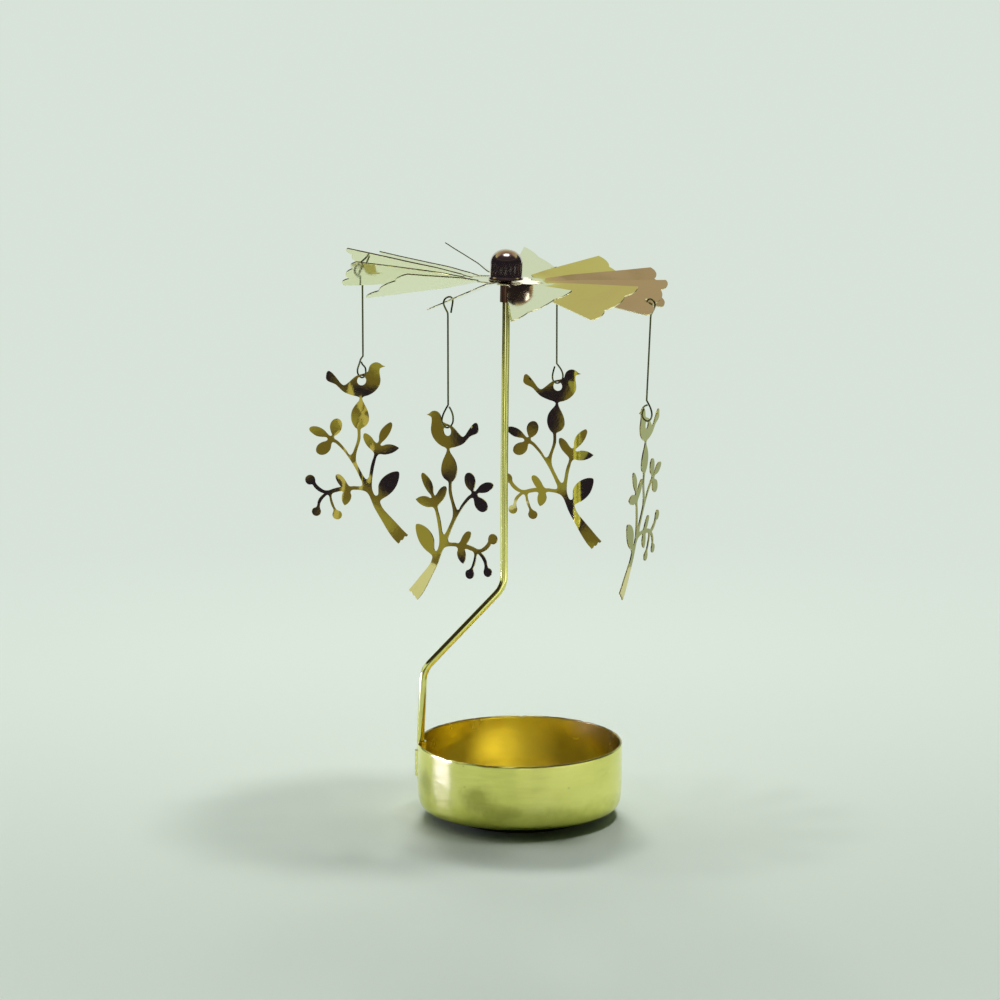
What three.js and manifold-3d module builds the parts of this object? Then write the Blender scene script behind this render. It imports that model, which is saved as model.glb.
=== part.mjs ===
// Rotary tealight candlestick: a round drip tray, a bent wire post with a needle
// tip, and a twelve-blade fan that turns on the needle and carries four wire
// hangers, each with a flat cut-out bird on a twig.
// Millimetres, +Z up. Origin: middle of the tray's underside, on the table.
// -Y is the front, +X is to the right of it.

import * as THREE from 'three';
import Module from 'manifold-3d';
import { mergeVertices } from 'three/addons/utils/BufferGeometryUtils.js';

// ---------------------------------------------------------------- dimensions

// drip tray, pressed sheet
const TRAY_R = 30.0;             // outer radius of the wall
const TRAY_SHEET = 0.5;
const TRAY_TOP = 22.3;           // rim height
const TRAY_FLOOR = 3.0;          // underside of the raised ledge
const FOOT_R = 21.0;             // pressed foot; inside it is the tealight well
const TRAY_SEGMENTS = 56;

// clip pressed out of the tray wall, which holds the post
const POST_R = 1.1;
const POST_FOOT_X = -29.0;       // centre of the wire where the clip holds it
const CLIP_BORE = 1.2;
const CLIP_OUTER = 1.7;
const STRAP_LOW = 11.85;         // the strap bulges outwards over the wire
const STRAP_HIGH = 19.6;
const CLIP_SLIT = 0.2;           // shear gap between strap and groove
const CLIP_HALF_WIDTH = 1.35;    // half of the opening in the wall

// bent post: knots of its centre line in the XZ plane
const POST_LOW_BEND = [-28.05, 43.6];
const POST_HIGH_BEND = [-4.62, 68.5];
const POST_BEND_LEG = 3.1;       // tangent length of each bend
const NEEDLE = new THREE.Vector3(-4.0, 0, 160.3);   // tip that carries the rotor
const NEEDLE_LENGTH = 2.6;
const POST_SIDES = 14;

// rotor
const HUB_TILT = 1.2;            // lean of sleeve and cap on the needle, degrees
const FAN_TILT = 4.26;           // lean of the sheet fan, right side down
const FAN_DROP = 2.48;           // fan plane below the needle tip
const FAN_SHEET = 0.35;
const HUB_R = 9.3;
const HUB_BORE = 1.77;
const BORE_SHIFT = 0.3;          // the bore sits a little off the fan's middle, along +X
const BLADES = 12;
const FIRST_BLADE = -17.35;      // azimuth of blade 0, degrees
const ROOT_U = 12.3;             // blade begins
const ROOT_HALF = 2.5;
const NECK_WIDTH = 2.3;
const TWIST = [25.6, 28.4, 28.4, 28.4, 28.4, 23.5, 25.2, 28.4, 28.4, 28.4, 29.0, 27.6];
const LIFT = [0.0, 0.0, 0.0, 0.0, 0.0, -2.5, 2.0, 0.0, 0.0, 0.0, -1.1, 0.2];

// scalloped outer edge of a blade: (u, v), u outwards, v along the turn
const CORNER_A = [44.8, -9.4];
const NOTCH_A = [44.6, -3.9];
const NOTCH_B = [45.0, 4.2];
const CORNER_B = [45.0, 9.6];
const LOBE_RISE = [1.3, 1.5, 1.2];
const HANG_U = 44.24;            // strip of sheet that a hook hangs over
const HANG_V = -2.95;
const HOLE_U = 42.98;
const HOLE_V = -2.02;
const HOLE_R = 1.05;

// bearing sleeve and dome cap, heights from the needle tip
const SLEEVE_R = 1.65;
const SLEEVE_BORE = 1.42;
const SLEEVE_LOW = -8.6;
const DOME_R = 4.6;
const DOME_TOP = 6.6;
const DOME_LOW = -1.95;
const DOME_WALL = 0.4;

// wire hangers
const WIRE_R = 0.25;
const WIRE_AXIS = 0.0;            // straight wire, sideways from the hanging point
const HOOK_LENGTH = 4.25;        // hanging point to the top of the straight wire
const LOOP_HEIGHT = 5.7;         // as drawn; each loop is scaled to its own height
const WIRE_SIDES = 6;

// bird ornaments
const ORNAMENT_SHEET = 0.35;
const EYE_R = 1.38;              // hanging hole
const EYE_GAP = 0.2;
const OUTLINE_TOLERANCE = 0.1;

// side, blade number, direction of the hanger's plane, direction of the beak;
// straight is the wire from hook to loop, loop the loop's height, kink and set the
// small sideways bend above it, skew the loop's shift to one side, end its open end;
// lean is how far the hanger leans sideways, roll how much more its ornament does
const HANGINGS = [
  { side: 'left', blade: 6, hook: 132.6, beak: 15.0, straight: 24.08, loop: 5.2, kink: 1.2, set: 1.1, skew: -0.8, end: [[-0.75, -1.2], [-0.35, -0.6]], lean: 0, roll: 0 },
  { side: 'front', blade: 9, hook: 214.6, beak: 143.6, straight: 24.65, loop: 6.35, kink: 0, set: 0, skew: -0.15, end: [[-0.75, -1.2], [-0.35, -0.6]], lean: 0, roll: 0 },
  { side: 'rear', blade: 3, hook: 32.6, beak: -15.0, straight: 23.45, loop: 5.97, kink: 0, set: 0, skew: 0, end: [[-0.95, -1.5], [-0.7, -0.8]], lean: 0, roll: 0 },
  { side: 'right', blade: 0, hook: -44.4, beak: 249.0, straight: 23.5, loop: 5.9, kink: 0, set: 0, skew: 0, end: [[-0.5, -1.65], [0.3, -1.3]], lean: 2.3, roll: 1.3 },
];

// -------------------------------------------------------------------- helpers

const wasm = await Module();
wasm.setup();
const rad = THREE.MathUtils.degToRad;

// position-only copy with shared vertices, no sliver of zero width, faces out
function clean(geometry) {
  let g = geometry.clone();
  for (const name of Object.keys(g.attributes)) if (name !== 'position') g.deleteAttribute(name);
  g.clearGroups();
  g = mergeVertices(g, 1e-4);
  const index = g.index.array;
  const kept = [];
  for (let i = 0; i < index.length; i += 3) {
    const [a, b, c] = [index[i], index[i + 1], index[i + 2]];
    if (a !== b && b !== c && c !== a) kept.push(a, b, c);
  }
  const p = g.attributes.position;
  const [A, B, C] = [new THREE.Vector3(), new THREE.Vector3(), new THREE.Vector3()];
  let volume = 0;
  for (let i = 0; i < kept.length; i += 3) {
    A.fromBufferAttribute(p, kept[i]);
    B.fromBufferAttribute(p, kept[i + 1]);
    C.fromBufferAttribute(p, kept[i + 2]);
    volume += A.dot(B.cross(C));
  }
  if (volume < 0) for (let i = 0; i < kept.length; i += 3) [kept[i], kept[i + 1]] = [kept[i + 1], kept[i]];
  g.setIndex(kept);
  return g;
}

function solid(geometry) {
  const g = clean(geometry);
  return new wasm.Manifold(new wasm.Mesh({
    numProp: 3,
    vertProperties: new Float32Array(g.attributes.position.array),
    triVerts: new Uint32Array(g.index.array),
  }));
}

function shell(manifold) {
  const m = manifold.getMesh();
  const g = new THREE.BufferGeometry();
  g.setAttribute('position', new THREE.BufferAttribute(new Float32Array(m.vertProperties), 3));
  g.setIndex(Array.from(m.triVerts));
  return g;
}

// turn a closed (r, z) profile about the Z axis
function turned(profile, segments) {
  const g = new THREE.LatheGeometry(profile.map(([r, z]) => new THREE.Vector2(r, z)), segments);
  g.rotateX(Math.PI / 2);
  return clean(g);
}

function upright(shape, z0, z1, curveSegments = 10) {
  const g = new THREE.ExtrudeGeometry(shape, { depth: z1 - z0, bevelEnabled: false, curveSegments, steps: 1 });
  g.translate(0, 0, z0);
  return g;
}

// a path through knots, with one section of the extrusion at every knot
class KnotPath extends THREE.Curve {
  constructor(knots) {
    super();
    this.knots = knots;
  }
  getUtoTmapping(u) { return u; }
  getPoint(t, target = new THREE.Vector3()) {
    const last = this.knots.length - 1;
    const x = Math.min(Math.max(t, 0), 1) * last;
    const i = Math.min(Math.floor(x), last - 1);
    return target.copy(this.knots[i]).lerp(this.knots[i + 1], x - i);
  }
  getTangent(t, target = new THREE.Vector3()) {
    const last = this.knots.length - 1;
    const i = Math.round(t * last);
    const before = this.knots[Math.max(i, 1)].clone().sub(this.knots[Math.max(i, 1) - 1]).normalize();
    const after = this.knots[Math.min(i, last - 1) + 1].clone().sub(this.knots[Math.min(i, last - 1)]).normalize();
    return target.copy(before).add(after).normalize();
  }
}

function wire(knots, radius, sides) {
  const ring = [];
  for (let i = 0; i < sides; i++) {
    const a = (2 * Math.PI * (i + 0.5)) / sides;
    ring.push(new THREE.Vector2(radius * Math.cos(a), radius * Math.sin(a)));
  }
  return new THREE.ExtrudeGeometry(new THREE.Shape(ring), {
    steps: knots.length - 1, bevelEnabled: false, extrudePath: new KnotPath(knots),
  });
}

const xz = (x, z) => new THREE.Vector3(x, 0, z);

function brass(color, roughness) {
  return new THREE.MeshStandardMaterial({ color, roughness, metalness: 1.0 });
}

function named(name, geometry, material) {
  const mesh = new THREE.Mesh(geometry, material);
  mesh.name = name;
  return mesh;
}

// ------------------------------------------------------------------ drip tray

function dripTray() {
  const s = TRAY_SHEET;
  const f = TRAY_FLOOR;
  const body = solid(turned([
    [0, 0], [FOOT_R - 1.0, 0], [FOOT_R - 0.25, 0.25], [FOOT_R, 0.9],
    [FOOT_R + 0.1, f - 0.9], [FOOT_R + 0.5, f - 0.25], [FOOT_R + 1.3, f],
    [TRAY_R - 2.6, f], [TRAY_R - 1.3, f + 0.35], [TRAY_R - 0.35, f + 1.3], [TRAY_R, f + 2.6],
    [TRAY_R, TRAY_TOP], [TRAY_R - s, TRAY_TOP],
    [TRAY_R - s, f + 2.7], [TRAY_R - 0.8, f + 1.6], [TRAY_R - 1.6, f + 0.8], [TRAY_R - 2.7, f + s],
    [FOOT_R + 1.1, f + s], [FOOT_R + 0.1, f + 0.15], [FOOT_R - 0.4, f - 0.75],
    [FOOT_R - 0.5, 1.0], [FOOT_R - 0.7, 0.6], [FOOT_R - 1.2, s], [0, s],
  ], TRAY_SEGMENTS));

  // the wall is sheared at the back of the clip, then pressed in and out
  const opening = new THREE.BoxGeometry(2.1, 2 * CLIP_HALF_WIDTH, TRAY_TOP + 2 - STRAP_LOW + CLIP_SLIT);
  opening.translate(-29.55, 0, (TRAY_TOP + 2 + STRAP_LOW - CLIP_SLIT) / 2);

  const x = POST_FOOT_X;
  const wall = -TRAY_R + 0.12;
  const groove = new THREE.Shape();
  groove.moveTo(wall, CLIP_OUTER);
  groove.lineTo(x, CLIP_OUTER);
  groove.absarc(x, 0, CLIP_OUTER, Math.PI / 2, -Math.PI / 2, true);
  groove.lineTo(wall, -CLIP_OUTER);
  groove.lineTo(wall, -CLIP_BORE);
  groove.lineTo(x, -CLIP_BORE);
  groove.absarc(x, 0, CLIP_BORE, -Math.PI / 2, Math.PI / 2, false);
  groove.lineTo(wall, CLIP_BORE);

  const strap = new THREE.Shape();
  const a = 0.5 * Math.PI + 0.24;
  const b = 1.5 * Math.PI - 0.24;
  strap.absarc(x, 0, CLIP_OUTER, a, b, false);
  strap.absarc(x, 0, CLIP_BORE, b, a, true);

  return shell(body.subtract(solid(opening))
    .add(solid(upright(groove, STRAP_HIGH + CLIP_SLIT, TRAY_TOP, 10)))
    .add(solid(upright(strap, STRAP_LOW, STRAP_HIGH, 10))));
}

// --------------------------------------------------------------- support post

function supportPost() {
  const low = new THREE.Vector2(...POST_LOW_BEND);
  const high = new THREE.Vector2(...POST_HIGH_BEND);
  const slope = high.clone().sub(low).normalize();
  const knots = [
    xz(POST_FOOT_X, STRAP_LOW - 0.1), xz(POST_FOOT_X, TRAY_TOP + 0.4),
    xz(POST_FOOT_X + 0.15, 27), xz(POST_FOOT_X + 0.5, 33.5),
  ];
  const bend = (corner, from, to) => {
    const curve = new THREE.QuadraticBezierCurve(
      corner.clone().addScaledVector(from, POST_BEND_LEG), corner, corner.clone().addScaledVector(to, POST_BEND_LEG));
    for (const p of curve.getPoints(6)) knots.push(xz(p.x, p.y));
  };
  bend(low, new THREE.Vector2(-0.045, -1).normalize(), slope);
  bend(high, slope.clone().negate(), new THREE.Vector2(0, 1));
  knots.push(xz(-4.6, 95), xz(-4.36, 122), xz(-4.05, 146), xz(NEEDLE.x, NEEDLE.z - NEEDLE_LENGTH + 0.4));
  const rod = wire(knots, POST_R, POST_SIDES);
  const point = new THREE.CylinderGeometry(0.1, POST_R - 0.04, NEEDLE_LENGTH, POST_SIDES);
  point.rotateX(Math.PI / 2);
  point.translate(NEEDLE.x, 0, NEEDLE.z - NEEDLE_LENGTH / 2);
  return shell(solid(rod).add(solid(point)));
}

// ------------------------------------------------------------------------ fan

// flat pattern (u, v, thickness w) of blade k to the fan's own frame
function bladePoint(u, v, w, k, target = new THREE.Vector3()) {
  const t = THREE.MathUtils.smoothstep(u, HUB_R + 0.1, ROOT_U - 0.1);
  const turn = rad(TWIST[k]) * t;
  const y = v * Math.cos(turn) - w * Math.sin(turn);
  const z = v * Math.sin(turn) + w * Math.cos(turn) + Math.tan(rad(LIFT[k])) * Math.max(0, u - 10.8);
  return target.set(u, y, z).applyAxisAngle(new THREE.Vector3(0, 0, 1), rad(FIRST_BLADE + (360 / BLADES) * k));
}

function formed(geometry, k) {
  const g = clean(geometry);
  const p = g.attributes.position;
  const v = new THREE.Vector3();
  for (let i = 0; i < p.count; i++) {
    bladePoint(p.getX(i), p.getY(i), p.getZ(i), k, v);
    p.setXYZ(i, v.x, v.y, v.z);
  }
  return solid(g);
}

// circular arc from a to b that stands out by rise
function lobe(path, a, b, rise) {
  const half = Math.hypot(b[0] - a[0], b[1] - a[1]) / 2;
  const radius = (half * half + rise * rise) / (2 * rise);
  const along = [(b[0] - a[0]) / (2 * half), (b[1] - a[1]) / (2 * half)];
  const cx = (a[0] + b[0]) / 2 - along[1] * (radius - rise);
  const cy = (a[1] + b[1]) / 2 + along[0] * (radius - rise);
  path.absarc(cx, cy, radius, Math.atan2(a[1] - cy, a[0] - cx), Math.atan2(b[1] - cy, b[0] - cx), false);
}

function fanRotor() {
  const hub = new THREE.Shape().absarc(0, 0, HUB_R, 0, 2 * Math.PI, false);
  hub.holes.push(new THREE.Path().absarc(BORE_SHIFT, 0, HUB_BORE, 0, 2 * Math.PI, true));
  let fan = solid(upright(hub, -FAN_SHEET / 2, FAN_SHEET / 2, 24));
  for (let k = 0; k < BLADES; k++) {
    const blade = new THREE.Shape();
    blade.moveTo(ROOT_U, -ROOT_HALF);
    blade.lineTo(...CORNER_A);
    lobe(blade, CORNER_A, NOTCH_A, LOBE_RISE[0]);
    lobe(blade, NOTCH_A, NOTCH_B, LOBE_RISE[1]);
    lobe(blade, NOTCH_B, CORNER_B, LOBE_RISE[2]);
    blade.lineTo(ROOT_U, ROOT_HALF);
    if (HANGINGS.some((h) => h.blade === k)) {
      blade.holes.push(new THREE.Path().absarc(HOLE_U, HOLE_V, HOLE_R, 0, 2 * Math.PI, true));
    }
    fan = fan.add(formed(upright(blade, -FAN_SHEET / 2, FAN_SHEET / 2, 5), k));
    const neck = new THREE.BoxGeometry(4.2, NECK_WIDTH, FAN_SHEET - 0.02, 7, 1, 1);
    neck.translate(10.75, 0, 0);
    fan = fan.add(formed(neck, k));
  }
  return shell(fan);
}

// ---------------------------------------------------- bearing sleeve, dome cap

function bearingSleeve() {
  return turned([
    [0, 0.14], [SLEEVE_BORE - 0.25, -0.55], [SLEEVE_BORE, -0.9], [SLEEVE_BORE, SLEEVE_LOW],
    [SLEEVE_R - 0.08, SLEEVE_LOW], [SLEEVE_R, SLEEVE_LOW + 0.25], [SLEEVE_R, -1.95],
    [3.9, -1.95], [3.9, -1.55], [2.2, -1.5], [SLEEVE_R, -1.1], [SLEEVE_R, 0.1], [1.2, 0.6], [0, 0.75],
  ], 24);
}

function domeCap() {
  const w = DOME_WALL;
  return turned([
    [DOME_R - w, DOME_LOW], [DOME_R + 0.35, DOME_LOW], [DOME_R + 0.4, DOME_LOW + 0.2],
    [DOME_R + 0.32, DOME_LOW + 0.5], [DOME_R + 0.06, DOME_LOW + 0.8], [DOME_R, DOME_LOW + 1.2],
    [DOME_R, 3.4], [4.47, 4.3], [4.06, 5.2], [3.35, 5.95], [2.4, 6.38], [1.2, 6.56], [0, DOME_TOP],
    [0, DOME_TOP - w], [1.15, 6.17], [2.25, 5.97], [3.1, 5.6], [3.72, 4.95], [4.08, 4.2], [DOME_R - w, 3.4],
  ].concat([[DOME_R - w, DOME_LOW]]), 32);
}

// -------------------------------------------------------------- wire hangers

// hook over the blade's edge, straight wire, open teardrop loop; hanging point
// at the origin, in the XZ plane
function hangerWire(h) {
  const x = WIRE_AXIS;
  const top = -HOOK_LENGTH;
  const low = top - h.straight;
  const hook = new THREE.CatmullRomCurve3([
    xz(-1.02, -3.35), xz(-1.22, -2.3), xz(-1.5, -1.0), xz(-1.62, -0.15), xz(-1.42, 0.6), xz(-0.85, 1.06),
    xz(-0.1, 1.1), xz(0.72, 0.8), xz(1.2, 0.3), xz(1.4, -0.3), xz(1.32, -0.95), xz(0.75, -2.1),
    xz(0.1, -3.3), xz(x, top),
  ], false, 'centripetal');
  const bend = h.kink > 0 ? [xz(x, low + h.kink), xz(x + 0.55 * h.set, low + 0.5 * h.kink)] : [];
  const size = h.loop / LOOP_HEIGHT;
  const at = (across, up) => xz(x + h.set + h.skew + across, low + up * size);
  const loop = new THREE.CatmullRomCurve3([
    ...bend, xz(x + h.set, low), at(0.85 - 0.4 * h.skew, -0.95), at(1.7, -2.1), at(2.2, -3.4), at(2.1, -4.5),
    at(1.4, -5.35), at(0.4, -LOOP_HEIGHT), at(-0.65, -5.4), at(-1.35, -4.6), at(-1.5, -3.5), at(-1.25, -2.3),
    ...h.end.map(([across, up]) => xz(x + h.set + across, low + up)),
  ], false, 'centripetal');
  const knots = [...hook.getPoints(22), ...loop.getPoints(22)];
  return clean(wire(knots, WIRE_R, WIRE_SIDES));
}

// ------------------------------------------------------------ bird ornaments

// silhouette on a grid of GRID units per millimetre, y downwards; EYE is the
// middle of the hanging hole on that grid
const GRID = 3.314;
const GRID_Z = 3.397;
const EYE = [360.5, 380.8];
const SHEAR = 0.0369;
const OUTLINE = [
  384.2, 366.4, 381, 367.4, 378.8, 368.6, 378.2, 371.5, 378.6, 375.5, 379.2, 380, 378.4, 384.5, 375.8, 389,
  371.5, 393, 366.5, 395.6, 362.3, 396.9, 361, 398.2, 361.2, 400.2, 362.6, 403.5, 365, 408, 366.8, 413,
  367.5, 417.5, 367, 422, 364.6, 425.8, 361.2, 428, 359.4, 429.2, 359, 433, 359, 438, 358, 443,
  356.3, 448, 354.9, 453, 354.2, 458, 354.6, 462.5, 356.6, 467.5, 359.5, 473, 362.3, 478, 364.6, 480.2,
  366.4, 479.2, 367.6, 475, 368.6, 469, 370.2, 462.5, 372.2, 456.5, 372.2, 453.6, 369.6, 450.6, 365.2, 446,
  362.6, 441, 361.8, 436.4, 363, 433.8, 366.4, 434.6, 370.2, 438, 373, 442, 375.4, 443.6, 377.2, 441.4,
  377.4, 437, 379, 431.6, 382.6, 427, 386.4, 424, 389.4, 422.8, 390.6, 424.6, 389.8, 429.4, 387.2, 435,
  383.4, 440, 379.6, 443.6, 378.6, 445.6, 380.2, 446.4, 384.4, 445.2, 389.6, 445.2, 393.8, 446.6, 397.4, 448.8,
  394, 451.8, 388.6, 454.4, 382.6, 455.4, 377.4, 455, 375.2, 457, 373.6, 462, 372, 469, 370.8, 476,
  370, 483, 370, 488.5, 371, 493, 373.4, 496.8, 375.8, 496.4, 376.4, 492, 376.6, 486.5, 379.2, 481,
  383.4, 476.8, 388.2, 474, 393.2, 472.6, 396.8, 473, 397.4, 476.4, 396.4, 482, 394, 488, 390.2, 493.2,
  385.2, 497.4, 380.4, 500.2, 378.2, 502.4, 378.8, 506, 381.6, 511, 386, 516, 391, 521.5, 396, 527,
  401, 532.6, 405.8, 537.4, 404.4, 539, 402.6, 538.8, 401.4, 541, 400, 542.6, 398.6, 542.6, 397.6, 544.6,
  396, 546.2, 392, 542, 388, 536.6, 384, 530.2, 380, 523, 376, 516, 372, 508.6, 369.2, 501.6,
  366.8, 496, 363.6, 492.6, 359, 491.2, 354, 490.7, 350, 491, 348.6, 492.6, 349.4, 496.5, 348.4, 501,
  345.4, 504.8, 342.6, 506.4, 340.8, 503.6, 340, 499.5, 340.4, 495.5, 341, 492.8, 339, 491.9, 334.6, 492.8,
  331.2, 493.8, 329.8, 495.8, 330.2, 500, 331.6, 504.6, 333.4, 509, 335.6, 511.2, 338.6, 512.6, 339.9, 515.8,
  338.6, 519.1, 335.2, 520.5, 331.8, 519.1, 330.5, 515.8, 331.3, 513, 331.6, 510.8, 329.6, 506.4, 328.2, 501.6,
  327.2, 496.8, 325.6, 495.6, 322.8, 497.6, 320, 501, 318.4, 504.4, 318, 507.2, 318.4, 509.5, 319.1, 512.2,
  317.8, 515.4, 314.6, 516.7, 311.4, 515.4, 310.1, 512.2, 311.4, 509, 314.4, 507.7, 315.4, 506, 316, 502.4,
  317.8, 498.6, 320.6, 495.6, 322.4, 494, 319.4, 493, 315.8, 490.8, 312.6, 487.6, 310.6, 484.8, 307.6, 484.9,
  305, 483.3, 303.8, 480, 305.2, 476.5, 308.8, 475, 312.3, 476.5, 313.8, 480, 313.9, 482.4, 315.6, 485.2,
  318.8, 488.2, 322.6, 490.6, 326.8, 490.9, 331.6, 489.3, 336.6, 488, 339.2, 487.5, 337.6, 485.6, 335.4, 482,
  334, 478.4, 334.4, 475.6, 337, 474.8, 340.6, 477, 343.6, 481, 346, 485.4, 348, 487.1, 352, 487,
  356.6, 487.3, 359.8, 486.8, 360.4, 484.4, 358.6, 479.6, 355.4, 472.6, 352.2, 466.4, 349.2, 461.4, 345.4, 455.6,
  341.4, 450.4, 337.4, 446.2, 333.8, 443.2, 331, 442.6, 330, 444.8, 329.2, 448.8, 326.8, 452.4, 322.8, 454.8,
  318.4, 454.8, 315.2, 452.2, 315, 448.6, 317, 444.8, 321, 442.2, 325, 441, 326.4, 439.6, 325.4, 437.6,
  321, 437, 315.6, 436, 311.2, 433.2, 308.4, 429.6, 309.4, 427.2, 313.6, 426.2, 318.8, 427.4, 323.2, 430.2,
  326.6, 434, 329, 436, 331, 435.4, 329.6, 431.6, 328.8, 426.6, 330.6, 421.6, 334.2, 418.9, 338, 419.2,
  340.4, 422.4, 340.6, 427, 339, 431.4, 335.8, 434.6, 333, 436.6, 333, 438.4, 336.4, 441, 340.6, 445.4,
  344.8, 450.6, 348.2, 455.2, 350.2, 454.6, 352.8, 449.4, 354.8, 443.8, 356, 438.6, 356.2, 433.4, 355.6, 429.4,
  353.6, 427.6, 351.4, 424.2, 350, 420, 349.8, 415.4, 351, 410.4, 353.6, 406, 356.6, 402.4, 358.2, 400,
  358.2, 398, 356.6, 396.8, 352, 395.6, 346.6, 393.8, 342.2, 391.6, 338.4, 388, 334.6, 384.4, 330.6, 382.6,
  327, 381, 325.4, 378.8, 325.6, 375, 326.4, 372, 328, 370.8, 330.4, 372, 333.6, 375.2, 337.2, 379.8,
  340.6, 384, 343.2, 385.2, 347, 383, 351, 379.4, 355, 376.2, 359, 374.6, 363.4, 373.4, 366.8, 371.6,
  367.9, 368.2, 369.4, 365.2, 372.4, 363, 375.8, 362.4, 379, 363.6, 381.2, 365.4,
];

function silhouette() {
  const points = [];
  for (let i = 0; i < OUTLINE.length; i += 2) {
    const x = (OUTLINE[i] - EYE[0]) / GRID;
    points.push(new THREE.Vector2(x, -(OUTLINE[i + 1] - EYE[1]) / GRID_Z - SHEAR * x));
  }
  // leave out points that lie on the line between their neighbours
  const keep = new Array(points.length).fill(false);
  const line = new THREE.Line3();
  const near = new THREE.Vector3();
  const reduce = (a, b) => {
    line.set(new THREE.Vector3(points[a].x, points[a].y, 0), new THREE.Vector3(points[b].x, points[b].y, 0));
    let far = 0;
    let at = -1;
    for (let i = a + 1; i < b; i++) {
      const p = new THREE.Vector3(points[i].x, points[i].y, 0);
      const d = p.distanceTo(line.closestPointToPoint(p, true, near));
      if (d > far) [far, at] = [d, i];
    }
    if (far > OUTLINE_TOLERANCE) {
      keep[at] = true;
      reduce(a, at);
      reduce(at, b);
    }
  };
  const middle = 104;
  keep[0] = keep[middle] = keep[points.length - 1] = true;
  reduce(0, middle);
  reduce(middle, points.length - 1);
  return points.filter((p, i) => keep[i]).reverse();
}

// flat ornament in the XZ plane, beak towards +X, hanging hole at the origin
function birdOrnament() {
  const shape = new THREE.Shape(silhouette());
  shape.holes.push(new THREE.Path().absarc(0, 0, EYE_R, 0, 2 * Math.PI, true));
  const g = upright(shape, -ORNAMENT_SHEET / 2, ORNAMENT_SHEET / 2, 8);
  g.rotateX(Math.PI / 2);
  return clean(g);
}

// ------------------------------------------------------------------- assembly

const group = new THREE.Group();
group.add(named('drip_tray', dripTray(), brass(0xb9b24a, 0.2)));
group.add(named('support_post', supportPost(), brass(0xc3bd55, 0.2)));

const rotor = new THREE.Group();
rotor.position.copy(NEEDLE);
rotor.rotation.y = rad(HUB_TILT);
group.add(rotor);
rotor.add(named('bearing_sleeve', bearingSleeve(), brass(0x7a5a3a, 0.3)));
rotor.add(named('dome_cap', domeCap(), brass(0x4a3440, 0.15)));
const fan = named('fan_rotor', fanRotor(), brass(0xc2bb62, 0.15));
fan.position.set(-BORE_SHIFT, 0, -FAN_DROP);
fan.rotation.y = rad(FAN_TILT - HUB_TILT);
rotor.add(fan);
group.updateMatrixWorld(true);

for (const h of HANGINGS) {
  const hanging = new THREE.Group();
  hanging.position.copy(bladePoint(HANG_U, HANG_V, 0, h.blade).applyMatrix4(fan.matrixWorld));
  hanging.rotation.set(0, rad(h.lean), rad(h.hook));
  hanging.add(named(`hanger_wire_${h.side}`, hangerWire(h), brass(0x8a8248, 0.3)));
  const turn = new THREE.Group();
  turn.position.set(WIRE_AXIS + h.set + h.skew + 0.4, 0, -HOOK_LENGTH - h.straight - h.loop + WIRE_R + EYE_GAP - EYE_R);
  turn.rotation.z = rad(-h.hook);
  const ornament = named(`bird_ornament_${h.side}`, birdOrnament(), brass(0xb8a93c, 0.12));
  ornament.rotation.set(0, rad(h.roll), rad(h.beak));
  turn.add(ornament);
  hanging.add(turn);
  group.add(hanging);
}

export default group;
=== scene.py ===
import bpy
import bmesh
import math
import random
import numpy as np
from mathutils import Vector, Matrix, noise
from mathutils.geometry import delaunay_2d_cdt


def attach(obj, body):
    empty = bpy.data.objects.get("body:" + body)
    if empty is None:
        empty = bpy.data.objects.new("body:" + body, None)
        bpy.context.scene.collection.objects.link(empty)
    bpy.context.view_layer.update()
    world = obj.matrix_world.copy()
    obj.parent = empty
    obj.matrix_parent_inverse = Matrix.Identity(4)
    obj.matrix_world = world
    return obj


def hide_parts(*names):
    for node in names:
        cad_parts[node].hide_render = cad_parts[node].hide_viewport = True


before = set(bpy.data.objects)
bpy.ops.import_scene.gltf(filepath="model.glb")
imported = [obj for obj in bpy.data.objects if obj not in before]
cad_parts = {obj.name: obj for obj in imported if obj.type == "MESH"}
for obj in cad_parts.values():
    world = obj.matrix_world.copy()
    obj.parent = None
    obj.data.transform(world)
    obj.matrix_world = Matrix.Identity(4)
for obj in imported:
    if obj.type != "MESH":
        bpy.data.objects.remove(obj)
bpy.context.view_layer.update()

MM = 0.001
scene = bpy.context.scene
rng = random.Random(11)

# ------------------------------------------------------------ dimensions (mm)

TRAY_R, SHEET, TRAY_TOP = 30.0, 0.5, 22.3
MID_R = TRAY_R - SHEET / 2
POST_R, POST_FOOT_X = 1.1, -29.0
STRAP_LOW, STRAP_HIGH, SLIT = 11.85, 19.6, 0.2
NEEDLE = Vector((-4.0, 0.0, 160.3))
HUB_TILT, FAN_TILT, FAN_DROP, FAN_SHEET = 1.2, 4.26, 2.48, 0.35
HUB_R, HUB_BORE, BORE_SHIFT, BLADES, FIRST_BLADE = 9.3, 1.77, 0.3, 12, -17.35
ROOT_U, ROOT_HALF, NECK_WIDTH = 12.3, 2.5, 2.3
TWIST = [25.6, 28.4, 28.4, 28.4, 28.4, 23.5, 25.2, 28.4, 28.4, 28.4, 29.0, 27.6]
LIFT = [0.0, 0.0, 0.0, 0.0, 0.0, -2.5, 2.0, 0.0, 0.0, 0.0, -1.1, 0.2]
CORNER_A, NOTCH_A, NOTCH_B, CORNER_B = (44.8, -9.4), (44.6, -3.9), (45.0, 4.2), (45.0, 9.6)
LOBE_RISE = (1.3, 1.5, 1.2)
HANG_U, HANG_V, HOLE_U, HOLE_V, HOLE_R = 44.24, -2.95, 42.98, -2.02, 1.05
SLEEVE_R, SLEEVE_BORE, SLEEVE_LOW = 1.65, 1.42, -8.6
DOME_R, DOME_TOP, DOME_LOW, DOME_WALL = 4.6, 6.6, -1.95, 0.4
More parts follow.
